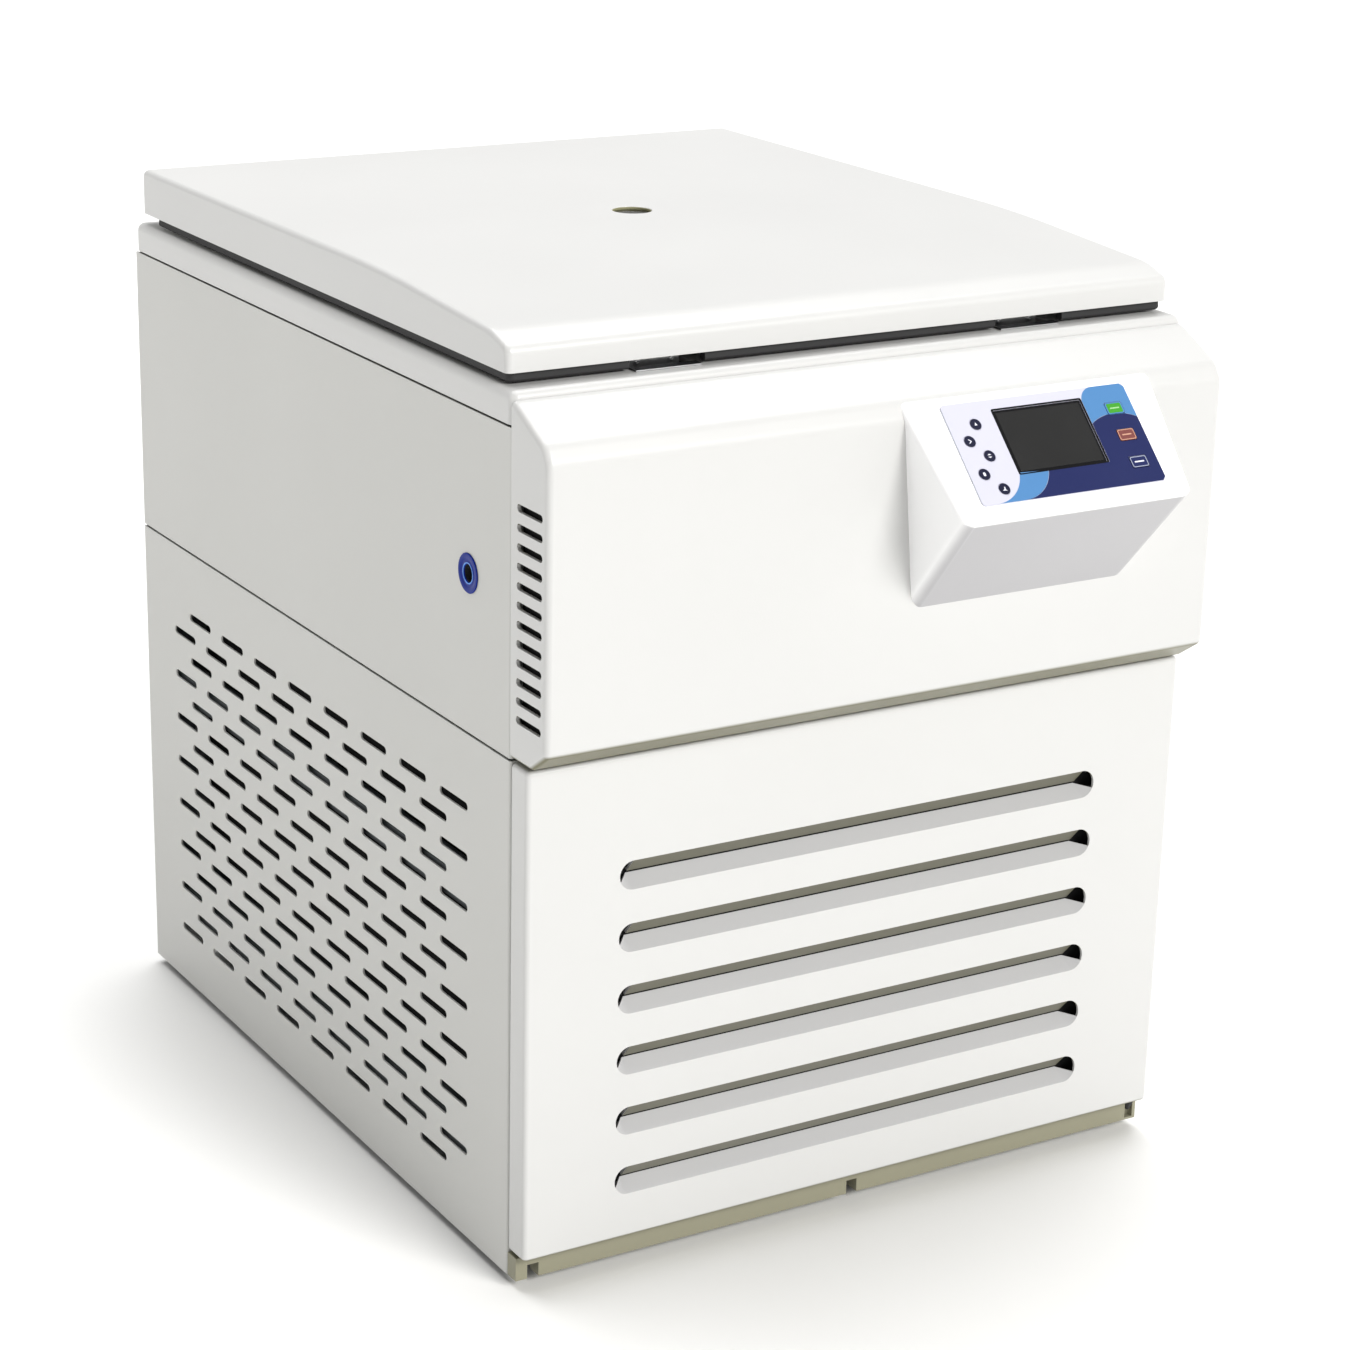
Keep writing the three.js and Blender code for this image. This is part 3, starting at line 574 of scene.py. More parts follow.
# ---------- cabinet sheets ----------
def side_panel(side, s, level):
    """A folded sheet. The lower ones are perforated, and the upper left one holds the release port."""
    node = f"{side}_{level}_panel"
    low, high = (corner[2] for corner in cad_box(node))
    bend = 2.5
    edge = FRONT + bend
    bands = [SLOT_TOP - SLOT_BAND * k for k in range(SLOT_BANDS + 1)] if level == "lower" else []
    bm = bmesh.new()
    corner = [(HALF - bend + bend * math.cos(t), edge - bend * math.sin(t))
              for t in (PI / 2 * k / 5 for k in range(6))]
    rows = [[bm.verts.new((s * x, y, z)) for z in (high, *bands, low)] for x, y in [*corner, (FLANGE, FRONT)]]
    skin(bm, rows)
    known = {(round(v.co.y, 3), round(v.co.z, 3)): v for v in rows[0]}

    def flat(points):
        keys = [(round(y, 3), round(z, 3)) for y, z in points]
        for key in keys:
            if key not in known:
                known[key] = bm.verts.new((s * HALF, *key))
        return bm.faces.new([known[key] for key in keys])

    def strip(z0, z1, *line):
        for y0, y1 in zip(line, line[1:]):
            flat([(y0, z0), (y1, z0), (y1, z1), (y0, z1)])

    if level == "lower":
        columns = [SLOT_START + SLOT_STEP * k for k in range(2 * SLOTS_IN_BAND + 2)]
        for z0, z1 in ((SLOT_TOP, high), (low, bands[-1])):
            strip(z0, z1, edge, *columns, BACK)
        r = SLOT_RADIUS
        for k, z in enumerate(bands[:-1]):
            z0, middle = z - SLOT_BAND, z - SLOT_BAND / 2
            left, right = columns[k % 2], columns[2 * SLOTS_IN_BAND + k % 2]
            strip(z0, z, edge, *sorted({columns[0], left}))
            strip(z0, z, *sorted({right, columns[-1]}), BACK)
            for i in range(SLOTS_IN_BAND):
                y = left + SLOT_STEP * (2 * i + 1)
                for way in (-1, 1):                # half a slot, and the sheet round it
                    slot = [(y + way * (SLOT_REACH + r * math.sin(t)), middle - r * math.cos(t))
                            for t in (PI * j / SLOT_ARC for j in range(SLOT_ARC + 1))]
                    flat([(y + way * SLOT_STEP, z0), (y, z0), (y, middle - r), *slot, (y, middle + r),
                          (y, z), (y + way * SLOT_STEP, z)])
    else:
        sheet = flat([(edge, low), (BACK, low), (BACK, high), (edge, high)])
        if side == "left":
            pierce(bm, sheet, [[(s * HALF, y, z) for y, z in ring(12, 32, (RING_Y, RING_Z))]])
    piece(f"{side}_{level}_side", bm, "powder_coat", node, open_skin=True, shell=2, bevel=0.35, angle=50)


def make_rear():
    (x0, _, z0), (x1, _, z1) = cad_box("rear_panel")
    wall = xz_plane(BACK)
    exhaust = [stadium(245, 182 - 28 * i, 90, 8) for i in range(14)]
    holes = [[(x, z) for z, x in loop] for loop in exhaust] + [block(INLET_X, INLET_Z, 21, 33, 2)]
    bm = bmesh.new()
    add_plate(bm, rect(x0, x1, z0, z1, 3), holes, -2, 0, wall)
    piece("rear_sheet", bm, "powder_coat", "rear_panel", bevel=0.35, angle=50)
    rim = [(x, BACK, z) for x in (-292, 0, 292) for z in (30, 250, 470, 680) if (x, z) != (0, 250)]
    round_exhaust = [(x, BACK, z) for x in (-190, 188) for z in (192, 298)]
    screws("rear_screws", (0, 1, 0), [(3.6, rim), (2.8, round_exhaust)])
    bm = bmesh.new()
    for z in (390, 560):
        add_plate(bm, stadium(0, z, 480, 12, 10), (), -1.5, 2.2, wall)
    piece("rear_beads", bm, "powder_coat", bevel=1.4, segments=4, angle=50)


def make_release_port():
    at = Matrix.Translation((-HALF, RING_Y, RING_Z)) @ Matrix.Rotation(-PI / 2, 4, "Y")
    bm = bmesh.new()
    add_lathe(bm, [(15.8, 0.3), (15.8, 0.7), (15.3, 1.15), (14.4, 1.2), (12.6, 1.2), (11.2, 0.6), (9.4, 0.4),
                   (8.6, 0.7), (7.5, 0.7), (7.0, 0.1), (7.0, -1.4), (11.3, -1.4), (11.3, 0.3)], at, 64)
    # the inner lip round the hole takes a lighter blue painted highlight
    add_lathe(bm, [(8.6, 0.5), (8.4, 0.95), (7.7, 0.95), (7.4, 0.6)], at, 64, 1)
    add_lathe(bm, [(6.9, -0.3), (6.9, -12), (11.3, -12), (11.3, -1.5), (7.2, -1.5), (7.2, -0.3)], at, 64, 2)
    piece("release_port_ring", bm, ["blue_plastic", "blue_plastic_painted_highlight", "black_rubber"], "release_ring")
    bm = bmesh.new()
    add_lathe(bm, [(0, -11), (6.7, -11), (6.7, -9.5), (2.6, -9), (2.2, -5.0), (1.4, -4.2), (0, -4.2)], at, 40)
    piece("release_pull", bm, "black_rubber", slot="black_plastic")


# ---------- covers ----------
def make_cover():
    (x0, nose, low), (x1, rear, high) = cad_box("front_cover")
    profile = fillet([(rear, high), (-305, 718.5), (-348, 697), (nose, 684), (nose, 461), (-331, low),
                      (rear, low)], [8, 16, 16, 7, 7])
    bm = cover_skin(profile, x0, x1, 5, 5)
    vents = [stadium(-328.5, 642 - 14.9 * i, 39, 6.2) for i in range(12)]
    for s in (-1, 1):
        pierce(bm, flat_face(bm, (s, 0, 0)), [[(s * HALF, y, z) for y, z in vent] for vent in vents])
    piece("front_cover_skin", bm, "cover_paint", "front_cover", open_skin=True, shell=3, bevel=0.4, angle=50)


def make_vent_shade_filters():
    """Black foam behind the front cover's vents; it is also a dark sheet standing in for the shade inside
    them.
    """
    bm = bmesh.new()
    for s in (-1, 1):
        add_plate(bm, rect(-351, -306, 466, 656, 3), (), 299, 303, yz_plane(s))
    piece("vent_shade_filters", bm, "pipe_foam", slot="black_rubber", bevel=0.5, angle=50)


def make_door():
    (x0, front, low), (x1, _, high) = cad_box("front_door")
    rear, clear_of_pivot = -302.6, -306
    bm = cover_skin(fillet([(rear, high), (front, high), (front, low), (rear, low)], [4, 4], 5), x0, x1, 4, 5)
    louvres = [341.6 - 52.2 * i for i in range(6)]
    steps = 16
    loops = pierce(bm, flat_face(bm, (0, -1, 0)),
                   [[(x, front, z) for x, z in stadium(0, z, 456, 24, steps)] for z in louvres])
    for v in bm.verts:
        if v.co.x > 300 and v.co.y > -304:
            v.co.y = clear_of_pivot
    # behind each opening a V-shaped pocket; its upper ends and a slit along its valley are open to the air
    reach, depth, drop = 216, 13, 2.6
    for z, rim in zip(louvres, loops):
        right, left = (bm.verts.new((x, front + depth, z - drop)) for x in (reach, -reach))
        pocket = [(rim[k], rim[k + 1], right) for k in range(steps * 3 // 8)]
        pocket += [(rim[k], rim[k + 1], left) for k in range(steps + 1 + steps * 5 // 8, 2 * steps + 1)]
        pocket.append((rim[2 * steps + 1], rim[0], right, left))
        slit = [bm.verts.new(top.co.lerp(end.co, 0.86))
                for top, end in ((rim[steps], right), (rim[steps + 1], left))]
        pocket.append((rim[steps], rim[steps + 1], slit[1], slit[0]))
        # the pocket faces take the louvre grey, partly paint and partly painted shade for the recess
        for corners in pocket:
            bm.faces.new(corners).material_index = 1
    obj = piece("front_door_skin", bm, ["cover_paint", "louvre_grey_and_painted_shade"], "front_door", open_skin=True,
                body="door", shell=2.4, bevel=0.6, angle=36)
    obj.modifiers["sheet"].use_even_offset = False


def make_door_filter():
    """Foam dust filter in a wire-edged frame on the door's inner side."""
    bm = bmesh.new()
    add_plate(bm, rect(-252, 260, 46, 384, 8, 5), (), -311.2, -307, xz_plane())
    piece("door_filter", bm, "pipe_foam", body="door", slot="black_rubber", bevel=0.8, angle=50)
    bm = bmesh.new()
    edge = [(x, -307.2, z) for x, z in rect(-254, 262, 44, 386, 10, 6)]
    add_tube(bm, [*edge, edge[0]], 1.6, 10)
    for x in (-125, 4, 133):
        add_tube(bm, [(x, -306.4, 45), (x, -306.4, 385)], 1.1, 10)
    piece("door_filter_wires", bm, "zinc_steel", body="door")


def make_deck():
    low = cad_box("top_deck")[0][2]
    profile = fillet([(BACK, low), (BACK, DECK_TOP), (FRONT, DECK_TOP), (FRONT, low)], [7, 7])
    bm = cover_skin(profile, -HALF, HALF, 7, 6)
    slots = [rect(s * LATCH_X - 29, s * LATCH_X + 29, -272, -242, 3, 4) for s in (-1, 1)]
    loops = pierce(bm, flat_face(bm, (0, 0, 1)),
                   [[(x, y, DECK_TOP) for x, y in hole] for hole in (ring(211.5, 96, AXIS), *slots)])
    for loop in loops:                             # the rim of each opening turns down
        skin(bm, [loop, [bm.verts.new(v.co - 4 * Z_AXIS) for v in loop]], True)
    piece("deck_skin", bm, "cover_paint", "top_deck", open_skin=True, slot="powder_coat", shell=1.6,
          bevel=0.5, angle=50)


def make_latch_lips():
    """A folded lip at the front of each latch opening, with a bright edge."""
    lip = fillet([(-283, 726.1), (-283, 727.4), (-272.4, 727.4), (-271.2, 722)], [0.6, 1], 3)
    for side, s in SIDES:
        bm = bmesh.new()
        skin(bm, [[bm.verts.new((s * LATCH_X + x, p.x, p.y)) for p in lip] for x in (-29, -28, 28, 29)])
        piece(f"latch_lip_{side}", bm, "black_plastic", open_skin=True, shell=0.8, bevel=0.2)
    bm = bmesh.new()
    for x in (-LATCH_X, LATCH_X):
        add_box(bm, x - 28.6, x + 28.6, -283.5, -282.7, 726.1, 727.2)
    piece("latch_lip_edges", bm, "zinc_steel", bevel=0.2)


# ---------- lid ----------
def make_lid():
    (x0, front, low), (x1, rear, high) = cad_box("lid_shell")
    profile = fillet([(rear, low), (rear, high), (-73, high), (-258, 763.5), (front, 755), (front, low)],
                     [7, 1900, 60, 9], 10)
    bm = cover_skin(profile, x0, x1, 5, 5)
    (rim,) = pierce(bm, flat_face(bm, (0, 0, 1)), [[(x, y, high) for x, y in ring(46, 96, AXIS)]])
    # soft dish round the view port, rolled over into the port's bore: radius and depth
    dish = ((40, 0.05), (34, 0.2), (28, 0.4), (22, 0.5), (18.2, 0.55), (17.5, 0.7), (17.2, 1.2), (17.1, 2))
    skin(bm, [rim] + [[bm.verts.new((x, y, high - depth)) for x, y in ring(radius, 96, AXIS)]
                      for radius, depth in dish], True)
    # rear wall: notches for the two hinge brackets
    wall = flat_face(bm, (0, 1, 0))
    top = max(v.co.z for v in wall.verts)
    outline = [(-301, low), (-301, top), (301, top), (301, low)]
    for x in (HINGE_X, -HINGE_X):
        outline += [(x + 10.6, low), (x + 10.6, 754), (x + 8.6, 756), (x - 8.6, 756), (x - 10.6, 754),
                    (x - 10.6, low)]
    pierce(bm, wall, (), [(a, rear, b) for a, b in outline])
    piece("lid_skin", bm, "cover_paint", "lid_shell", open_skin=True, body="lid", slot="powder_coat",
          shell=2.4, bevel=0.3, angle=50)


def make_lid_lugs():
    bm = bmesh.new()
    outline = loop_fillet([(390, 771), (393, 739.5), (411, 739.5), (413, 771)], 4)
    for x in (-HINGE_X, HINGE_X):
        for low in (x - 22, x + 11):
            add_plate(bm, outline, [ring(5.5, 24, (HINGE_Y, HINGE_Z))], low, low + 11, yz_plane())
    piece("lid_hinge_lugs", bm, "zinc_steel", body="lid", bevel=0.5)


def make_liner():
    (x0, y0, _), (x1, y1, high) = cad_box("lid_liner")
    low = high - 3
    bm = bmesh.new()
    add_plate(bm, rect(x0, x1, y0, y1, 14, 8), [ring(199, 96, AXIS)], low, high)
    add_lathe(bm, [(199.2, 740.3), (199.2, 734), (197.5, 727), (193, 723), (188, 722), (60, 722), (54, 723.2),
                   (24, 723.2), (19, 722), (17.2, 722.4), (17.2, 740.3)], ON_AXIS, 128)
    piece("lid_liner_panel", bm, "liner_plastic", "lid_liner", body="lid", bevel=0.5, angle=50)
    places = [(x, y, low) for x in (-288, -96, 96, 288) for y in (-262, 371)]
    places += [(x, y, low) for x in (-288, 288) for y in (-100, 65, 220)]
    screws("lid_liner_screws", (0, 0, -1), [(3.2, places)], "lid")


def make_view_port():
    bm = bmesh.new()
    add_lathe(bm, [(0, 722.6), (15.4, 722.6), (16.2, 723.6), (16.2, 769.2), (15.9, 769.6), (14.6, 769.6),
                   (14, 769.2), (14, 727.6), (13.4, 727), (0, 727)], ON_AXIS, 64)
    add_lathe(bm, [(0, 770.1), (16.2, 770.1), (16.4, 770.6), (16.4, 771.7), (16, 772), (0, 772)], ON_AXIS, 64)
    # the sleeve at the port's top takes an olive painted shade
    add_lathe(bm, [(16.5, 768), (17, 768), (17, 773.6), (16.8, 773.8), (16.5, 773.6)], ON_AXIS, 64, 1)
    piece("view_port_window", bm, ["clear_plastic", "port_sleeve_painted_shade"], "view_port", body="lid")


def make_edge_seal():
    """Soft seal under the lid's edge; it stops short of the hinges and the latches."""
    half, front, rear, gap = 303, -281, 386, (135, 201)
    lip = fillet([(0, 737.2), (-0.6, 729.4), (1.2, 727.7), (5.4, 727.7), (7, 729.4), (6.6, 737.2)],
                 [1.5, 1, 1, 1.5], 3)
    bm = bmesh.new()
    for corners in ([(-half, rear), (-half, front), (-gap[1], front)], [(-gap[0], front), (gap[0], front)],
                    [(gap[1], front), (half, front), (half, rear)]):
        path = fillet(corners, [6], 5)
        rows = []
        for p, before, after in zip(path, [path[0], *path], [*path[1:], path[-1]]):
            along = (after - before).normalized()
            inward = Vector((-along.y, along.x))
            rows.append([bm.verts.new((*(p + inward * (d + 0.6)), z)) for d, z in lip])
        skin(bm, rows, True, ends=True)
    piece("lid_edge_seal", bm, "black_rubber", body="lid")


# ---------- control housing ----------
def make_housing():
    x = FACE.translation.x
    corners = {"nose": (109, -430, 618), "brow": (120, -352.2, 695.8), "back": (120, -338, 695.8),
               "low": (103, -340, 513.4)}
    bm = bmesh.new()
    v = {(k, s): bm.verts.new((x + s * half, y, z)) for k, (half, y, z) in corners.items() for s in (-1, 1)}
    sloping, *_ = [bm.faces.new((v[a, -1], v[a, 1], v[b, 1], v[b, -1]))
                   for a, b in (("nose", "brow"), ("brow", "back"), ("low", "nose"))]
    for s in (-1, 1):
        bm.faces.new([v[k, s] for k in corners])
    pierce(bm, sloping, [[FACE @ Vector((*p, 0)) for p in rect(-83, 83, -40, 40, 4)]])
    weights = bm.edges.layers.float.new("bevel_weight_edge")
    for a, b, weight in (("nose", "brow", 0.6), ("low", "nose", 1.0), ("brow", "back", 0.6)):
        for s in (-1, 1):
            bm.edges.get((v[a, s], v[b, s]))[weights] = weight
    for k, weight in (("nose", 0.45), ("brow", 0.5)):
        bm.edges.get((v[k, -1], v[k, 1]))[weights] = weight
    obj = piece("control_housing_skin", bm, "console_plastic", "control_housing", open_skin=True, angle=30)
    obj.modifiers.clear()
    edge = obj.modifiers.new("edges", "BEVEL")
    edge.limit_method = "WEIGHT"
    edge.width = 9 * MM
    edge.segments = 6
    solid = obj.modifiers.new("sheet", "SOLIDIFY")
    solid.thickness = 2.4 * MM
    solid.offset = -1
    obj.modifiers.new("normals", "WEIGHTED_NORMAL").keep_sharp = True


def on_label(points):
    return [(p[0] - LABEL_W / 2, p[1] - LABEL_H / 2) for p in points]


def key_frame(u, v):
    return FACE @ Matrix.Translation((u - LABEL_W / 2, v - LABEL_H / 2, 0))


def make_label():
    """Film with holes for the keys and the display, and its printed fields and the display's border."""
    ink_low, ink_high, border_high = 1.4, 1.53, 1.62
    window = rect(*LCD, 1.2, 3)
    holes = {name: block(KEY_U, v, KEY_HALF_W + 0.5, KEY_HALF_H + 0.5, 1.6)
             for name, v in SQUARE_KEYS.items()}
    bm = bmesh.new()

    def field(outline, cuts, index, low=ink_low, high=ink_high):
        add_plate(bm, on_label(outline), [on_label(cut) for cut in cuts], low, high, FACE, index)

    film_cuts = [window, *(ring(5.35, 40, p) for p in ROUND_KEYS), *holes.values()]
    field(rect(0, LABEL_W, 0, LABEL_H, 3.5, 6), film_cuts, 0, 0.15, 1.45)
    margin = 0.05
    right, top, cut = LABEL_W - margin, LABEL_H - margin, 3.4
    shore = 130.9                                  # left end of the line where sky and navy meet
    sky = [*arc((shore, 79), (144, top), 2.6), (right - cut, top), (right, top - cut),
           *arc((right, 58.8), (shore, 57.6), -6.0)]
    field(sky, [holes["key_start"]], 1)
    navy = [*arc((shore, 57.4), (right, 58.6), 6.0), (right, cut), (right - cut, margin),
            *arc((40, margin), (72, 22.6), -6.0), (shore, 22.6)]
    field(navy, [holes["key_stop"], holes["key_open"]], 2)
    swoosh = [*arc((44.6, 24), (15, margin), 6.0), *arc((39.7, margin), (71.7, 22.6), -6.0)]
    field(swoosh, (), 1)
    border = rect(LCD[0] - 1.2, LCD[1] + 1.6, LCD[2] - 1.0, LCD[3] + 1.4, 1.6, 4)
    field(border, [window], 3, ink_low, border_high)
    piece("control_label_film", bm, ["label_film", "print_sky", "print_navy", "display_border"],
          "control_label", angle=30)


def make_screen():
    bm = bmesh.new()
    for outline, low, high, index in ((rect(42.2, 131.8, 20.2, 82.8, 1.5), -4.4, -1.0, 1),
                                      (rect(45.3, 128.7, 23.3, 79.7, 1), -1.1, 0.9, 1),
                                      (rect(47, 127, 25.2, 77.6, 0.8), 0.8, 1.15, 0)):
        add_plate(bm, on_label(outline), (), low, high, FACE, index)
    piece("lcd_screen", bm, ["display", "display_border"], "lcd_display", bevel=0.25)


def make_round_keys():
    """Keys with a navy cap and a plain shape on each."""
    symbols = (
        [[(-1.3, -1.0), (1.3, -1.0), (0, 1.7)]],
        [[(-1.4, -1.8), (-0.4, -1.8), (1.8, 0), (-0.4, 1.8), (-1.4, 1.8), (0.6, 0)]],
        [[(-1.9, 0.7), (1.9, 0.7), (0, 1.9)], [(-1.9, -0.7), (0, -1.9), (1.9, -0.7)]],
        [rect(-1.1, 1.1, -1.7, 1.7, 0.9, 5)],
        [[(-2.2, -1.4), (-0.2, -0.4), (0.3, 1.6), (1.2, 1.6), (0.8, -0.9), (2.2, -2.0), (0.2, -1.6)]],
    )
    for i, (place, symbol) in enumerate(zip(ROUND_KEYS, symbols), 1):
        at = key_frame(*place)
        bm = bmesh.new()
        add_lathe(bm, [(0, -3), (5.2, -3), (5.2, 1.2), (5.0, 1.55), (4.6, 1.7), (0, 1.7)], at, 48, 1)
        add_lathe(bm, [(0, 1.6), (4.95, 1.6), (4.85, 1.76), (4.6, 1.8), (0, 1.8)], at, 48)
        for shape in symbol:
            add_plate(bm, shape, (), 1.7, 1.88, at, 2)
        name = f"key_round_{i}"
        piece(f"round_key_{i}", bm, ["key_navy", "label_film", "print_white"], name, body=name)


def make_square_keys():
    looks = {"key_start": ("print_sky", "key_green", "print_lime", "key_green"),
             "key_stop": ("key_orange", "print_peach", "print_peach", "key_orange"),
             "key_open": ("print_navy", "print_grey", "print_white", "key_navy")}
    for name, v in SQUARE_KEYS.items():
        at = key_frame(KEY_U, v)
        *colors, slot = looks[name]
        bm = bmesh.new()
        add_plate(bm, block(0, 0, KEY_HALF_W, KEY_HALF_H, 1.6, 5), (), -3, 1.8, at)
        if name == "key_start":
            add_plate(bm, block(0, 0, 6.9, 4.2, 1, 5), (), 1.7, 1.85, at, 1)
        else:
            add_plate(bm, block(0, 0, 7.7, 4.7, 1.5, 5), [block(0, 0, 7, 4, 1, 5)], 1.7, 1.89, at, 1)
        add_plate(bm, block(0, 0, 4.6, 0.6, 0.5, 3), (), 1.7, 1.89, at, 2)
        piece(f"{name}_cap", bm, colors, name, body=name, slot=slot)


# ---------- chamber and drive ----------
def make_chamber():
    bm = bmesh.new()
    add_lathe(bm, [(32, 510), (186, 510), (197, 512.5), (205, 519), (207.5, 529), (207.5, 724.6),
                   (208.6, 726.3), (221.6, 726.3), (222, 727.3), (221.6, 728.3), (207.6, 728.3),
                   (205.8, 727.4), (205, 725.5), (205, 530), (202.8, 521), (195.6, 515), (185.6, 512.5),
                   (60, 512.5), (54, 511.9), (40, 511.9), (36, 512.9), (32, 512.9)], ON_AXIS, 128)
    for z in (560, 615, 670):                      # rolled swages round the wall
        swage = [(205.3, z - 4), (204.3, z - 2), (203.9, z), (204.3, z + 2), (205.3, z + 4)]
        add_lathe(bm, swage, ON_AXIS, 128)
    piece("chamber_liner", bm, "stainless", "chamber_bowl")
    bm = bmesh.new()
    add_lathe(bm, [(209.3, 728.7), (220.7, 728.7), (220.9, 730), (219.6, 731.2), (219.9, 734.5),
                   (218.4, 736.8), (215, 735.4), (211.6, 736.9), (210.1, 734.5), (210.4, 731.2),
                   (209.2, 730)], ON_AXIS, 128)
    piece("chamber_seal", bm, "black_rubber", "chamber_gasket")


def make_evaporator():
    turns, steps, radius, low, rise = 5, 48, 213.9, 540, 144
    circle = ring(radius, steps, AXIS)
    bm = bmesh.new()
    add_tube(bm, [(*circle[k % steps], low + rise * k / (turns * steps)) for k in range(turns * steps + 1)],
             3.9, 12)
    piece("evaporator_tube", bm, "copper", "evaporator_coil")


def make_armour():
    bm = bmesh.new()
    add_lathe(bm, [(236.2, 520), (241.8, 520), (242, 520.6), (242, 689.4), (241.8, 690), (236.2, 690)],
              ON_AXIS, 128)
    for x, y in ring(241.6, 12, AXIS):
        bolt = facing((x, y, 532), (x - AXIS[0], y - AXIS[1], 0))
        add_lathe(bm, [(0, -1), (3, -1), (3, 0.2), (0, 0.3)], bolt, 16)
    piece("armour_shell", bm, "frame_steel", "armour_ring")


def make_drive():
    profile = fillet([(0, 320.6), (14, 320.6), (10.4, 327.6), (14, 334.7), (0, 334.7)], [1, 5, 1], 4)
    for i in (1, 2, 3):
        x, y, _ = centre_of(f"motor_damper_{i}")
        bm = bmesh.new()
        add_lathe(bm, profile, upright(x, y), 40)
        piece(f"rubber_mount_{i}", bm, "black_rubber", f"motor_damper_{i}")
    case = [(0, 335), (104, 335), (106, 337), (106, 341), (104, 343), (80, 343)]
    for z in (348 + 9.6 * k for k in range(12)):   # cooling ribs
        case += [(72, z), (78, z + 1.2), (78, z + 4.2), (72, z + 5.4)]
    case += [(78, 466), (76, 470), (62, 480), (40, 484), (30, 486), (28, 488), (28, 502), (26, 504), (0, 504)]
    bm = bmesh.new()
    add_lathe(bm, case, ON_AXIS, 72)
    for x, y in ring(94, 3, AXIS, 5 * PI / 6):
        add_screw(bm, (x, y, 343), (0, 0, 1), 5, 1)
    piece("motor_case", bm, ["black_enamel", "zinc_steel"], "drive_motor")
    bm = bmesh.new()
    add_lathe(bm, [(0, 504.6), (8.6, 504.6), (9, 505), (9, 544), (8.4, 545), (9, 546), (9, 560), (7.5, 589),
                   (7, 590), (0, 590)], ON_AXIS, 48)
    piece("spindle_shaft", bm, "stainless", "spindle", body="rotor")


# ---------- rotor ----------
def loose(name, profile, matrix, steps):
    """A turned solid for cutting, which isn't a piece."""
    bm = bmesh.new()
    add_lathe(bm, profile, matrix, steps)
    bmesh.ops.recalc_face_normals(bm, faces=bm.faces)
    obj = bpy.data.objects.new(name, mesh_from(name, bm))
    scene.collection.objects.link(obj)
    return obj


def cut(blank, cutters):
    """Takes the cutter solids away from the blank and gives the mesh that is left."""
    for cutter in cutters:
        mod = blank.modifiers.new("cut", "BOOLEAN")
        mod.operation = "DIFFERENCE"
        mod.solver = "EXACT"
        mod.object = cutter
    bpy.context.view_layer.update()
    mesh = bpy.data.meshes.new_from_object(blank.evaluated_get(bpy.context.evaluated_depsgraph_get()))
    for obj in (blank, *cutters):
        old = obj.data
        bpy.data.objects.remove(obj)
        bpy.data.meshes.remove(old)
    mesh.materials.clear()
    return mesh


def make_rotor():
    """A fixed-angle rotor: a solid body with six tilted pockets round its shaft and screw bores."""
    profile = fillet([(0, 545), (60, 545), (150, 560), (152, 600), (105, 668), (0, 668)], [6, 8, 30, 6])
    blank = loose("rotor_blank", profile, ON_AXIS, 144)
    pocket = [(0, -100), (18, -100), (27, -91), (27, -4), (28.6, -1), (28.6, 30), (0, 30)]
    mouth = Matrix.Translation((72, 0, 668)) @ Matrix.Rotation(-math.radians(25), 4, "Y")
    cutters = [loose(f"pocket_{i}", pocket, ON_AXIS @ Matrix.Rotation(PI / 3 * i, 4, "Z") @ mouth, 64)
               for i in range(6)]
    cutters.append(loose("shaft_bore", [(0, 540), (9.6, 540), (9.6, 560), (8.1, 592), (0, 592)], ON_AXIS, 48))
    cutters.append(loose("screw_bore", [(0, 650), (6.6, 650), (6.6, 680), (0, 680)], ON_AXIS, 32))
    new_piece("rotor_body", cut(blank, cutters), "aluminium", "rotor", body="rotor", bevel=0.5, angle=40)


def make_rotor_lid():
    cover = [(8, 668.4), (107, 668.4), (108, 669.2), (108, 671.2), (107, 672.4), (101, 677), (97, 678.2)]
    for r in (90, 76, 62, 48):                     # turned grooves on a slight cone
        z = 678.2 + (97 - r) * 0.045
        cover += [(r + 1.6, z), (r + 0.8, z - 0.6), (r - 0.8, z - 0.6), (r - 1.6, z)]
    cover += [(32, 681.6), (29, 682), (9, 682), (8, 681.4)]
    bm = bmesh.new()
    add_lathe(bm, cover, ON_AXIS, 128)
    piece("rotor_cover", bm, "aluminium", "rotor_lid", body="rotor")


def make_rotor_knob():
    def flutes(r, h, t):
        return -0.9 * max(0.0, math.cos(12 * t)) ** 2 if r > 18 and 685 < h < 701 else 0

    bm = bmesh.new()
    add_lathe(bm, [(0, 652), (5.4, 652), (6, 652.8), (6, 682.4), (19.4, 682.4), (20.6, 683.2), (22, 686),
                   (22, 693), (22, 699), (21, 702), (18, 704), (9, 704), (8, 703.2), (0, 703.2)],
              ON_AXIS, 144, 0, flutes)
    piece("rotor_grip", bm, "black_plastic", "rotor_knob", body="rotor_knob")
    bm = bmesh.new()
    add_lathe(bm, [(0, 703), (7.4, 703), (7.2, 703.9), (6.4, 704), (0, 704)], ON_AXIS, 48)
    piece("rotor_grip_cap", bm, "blue_plastic", body="rotor_knob", slot="black_plastic")


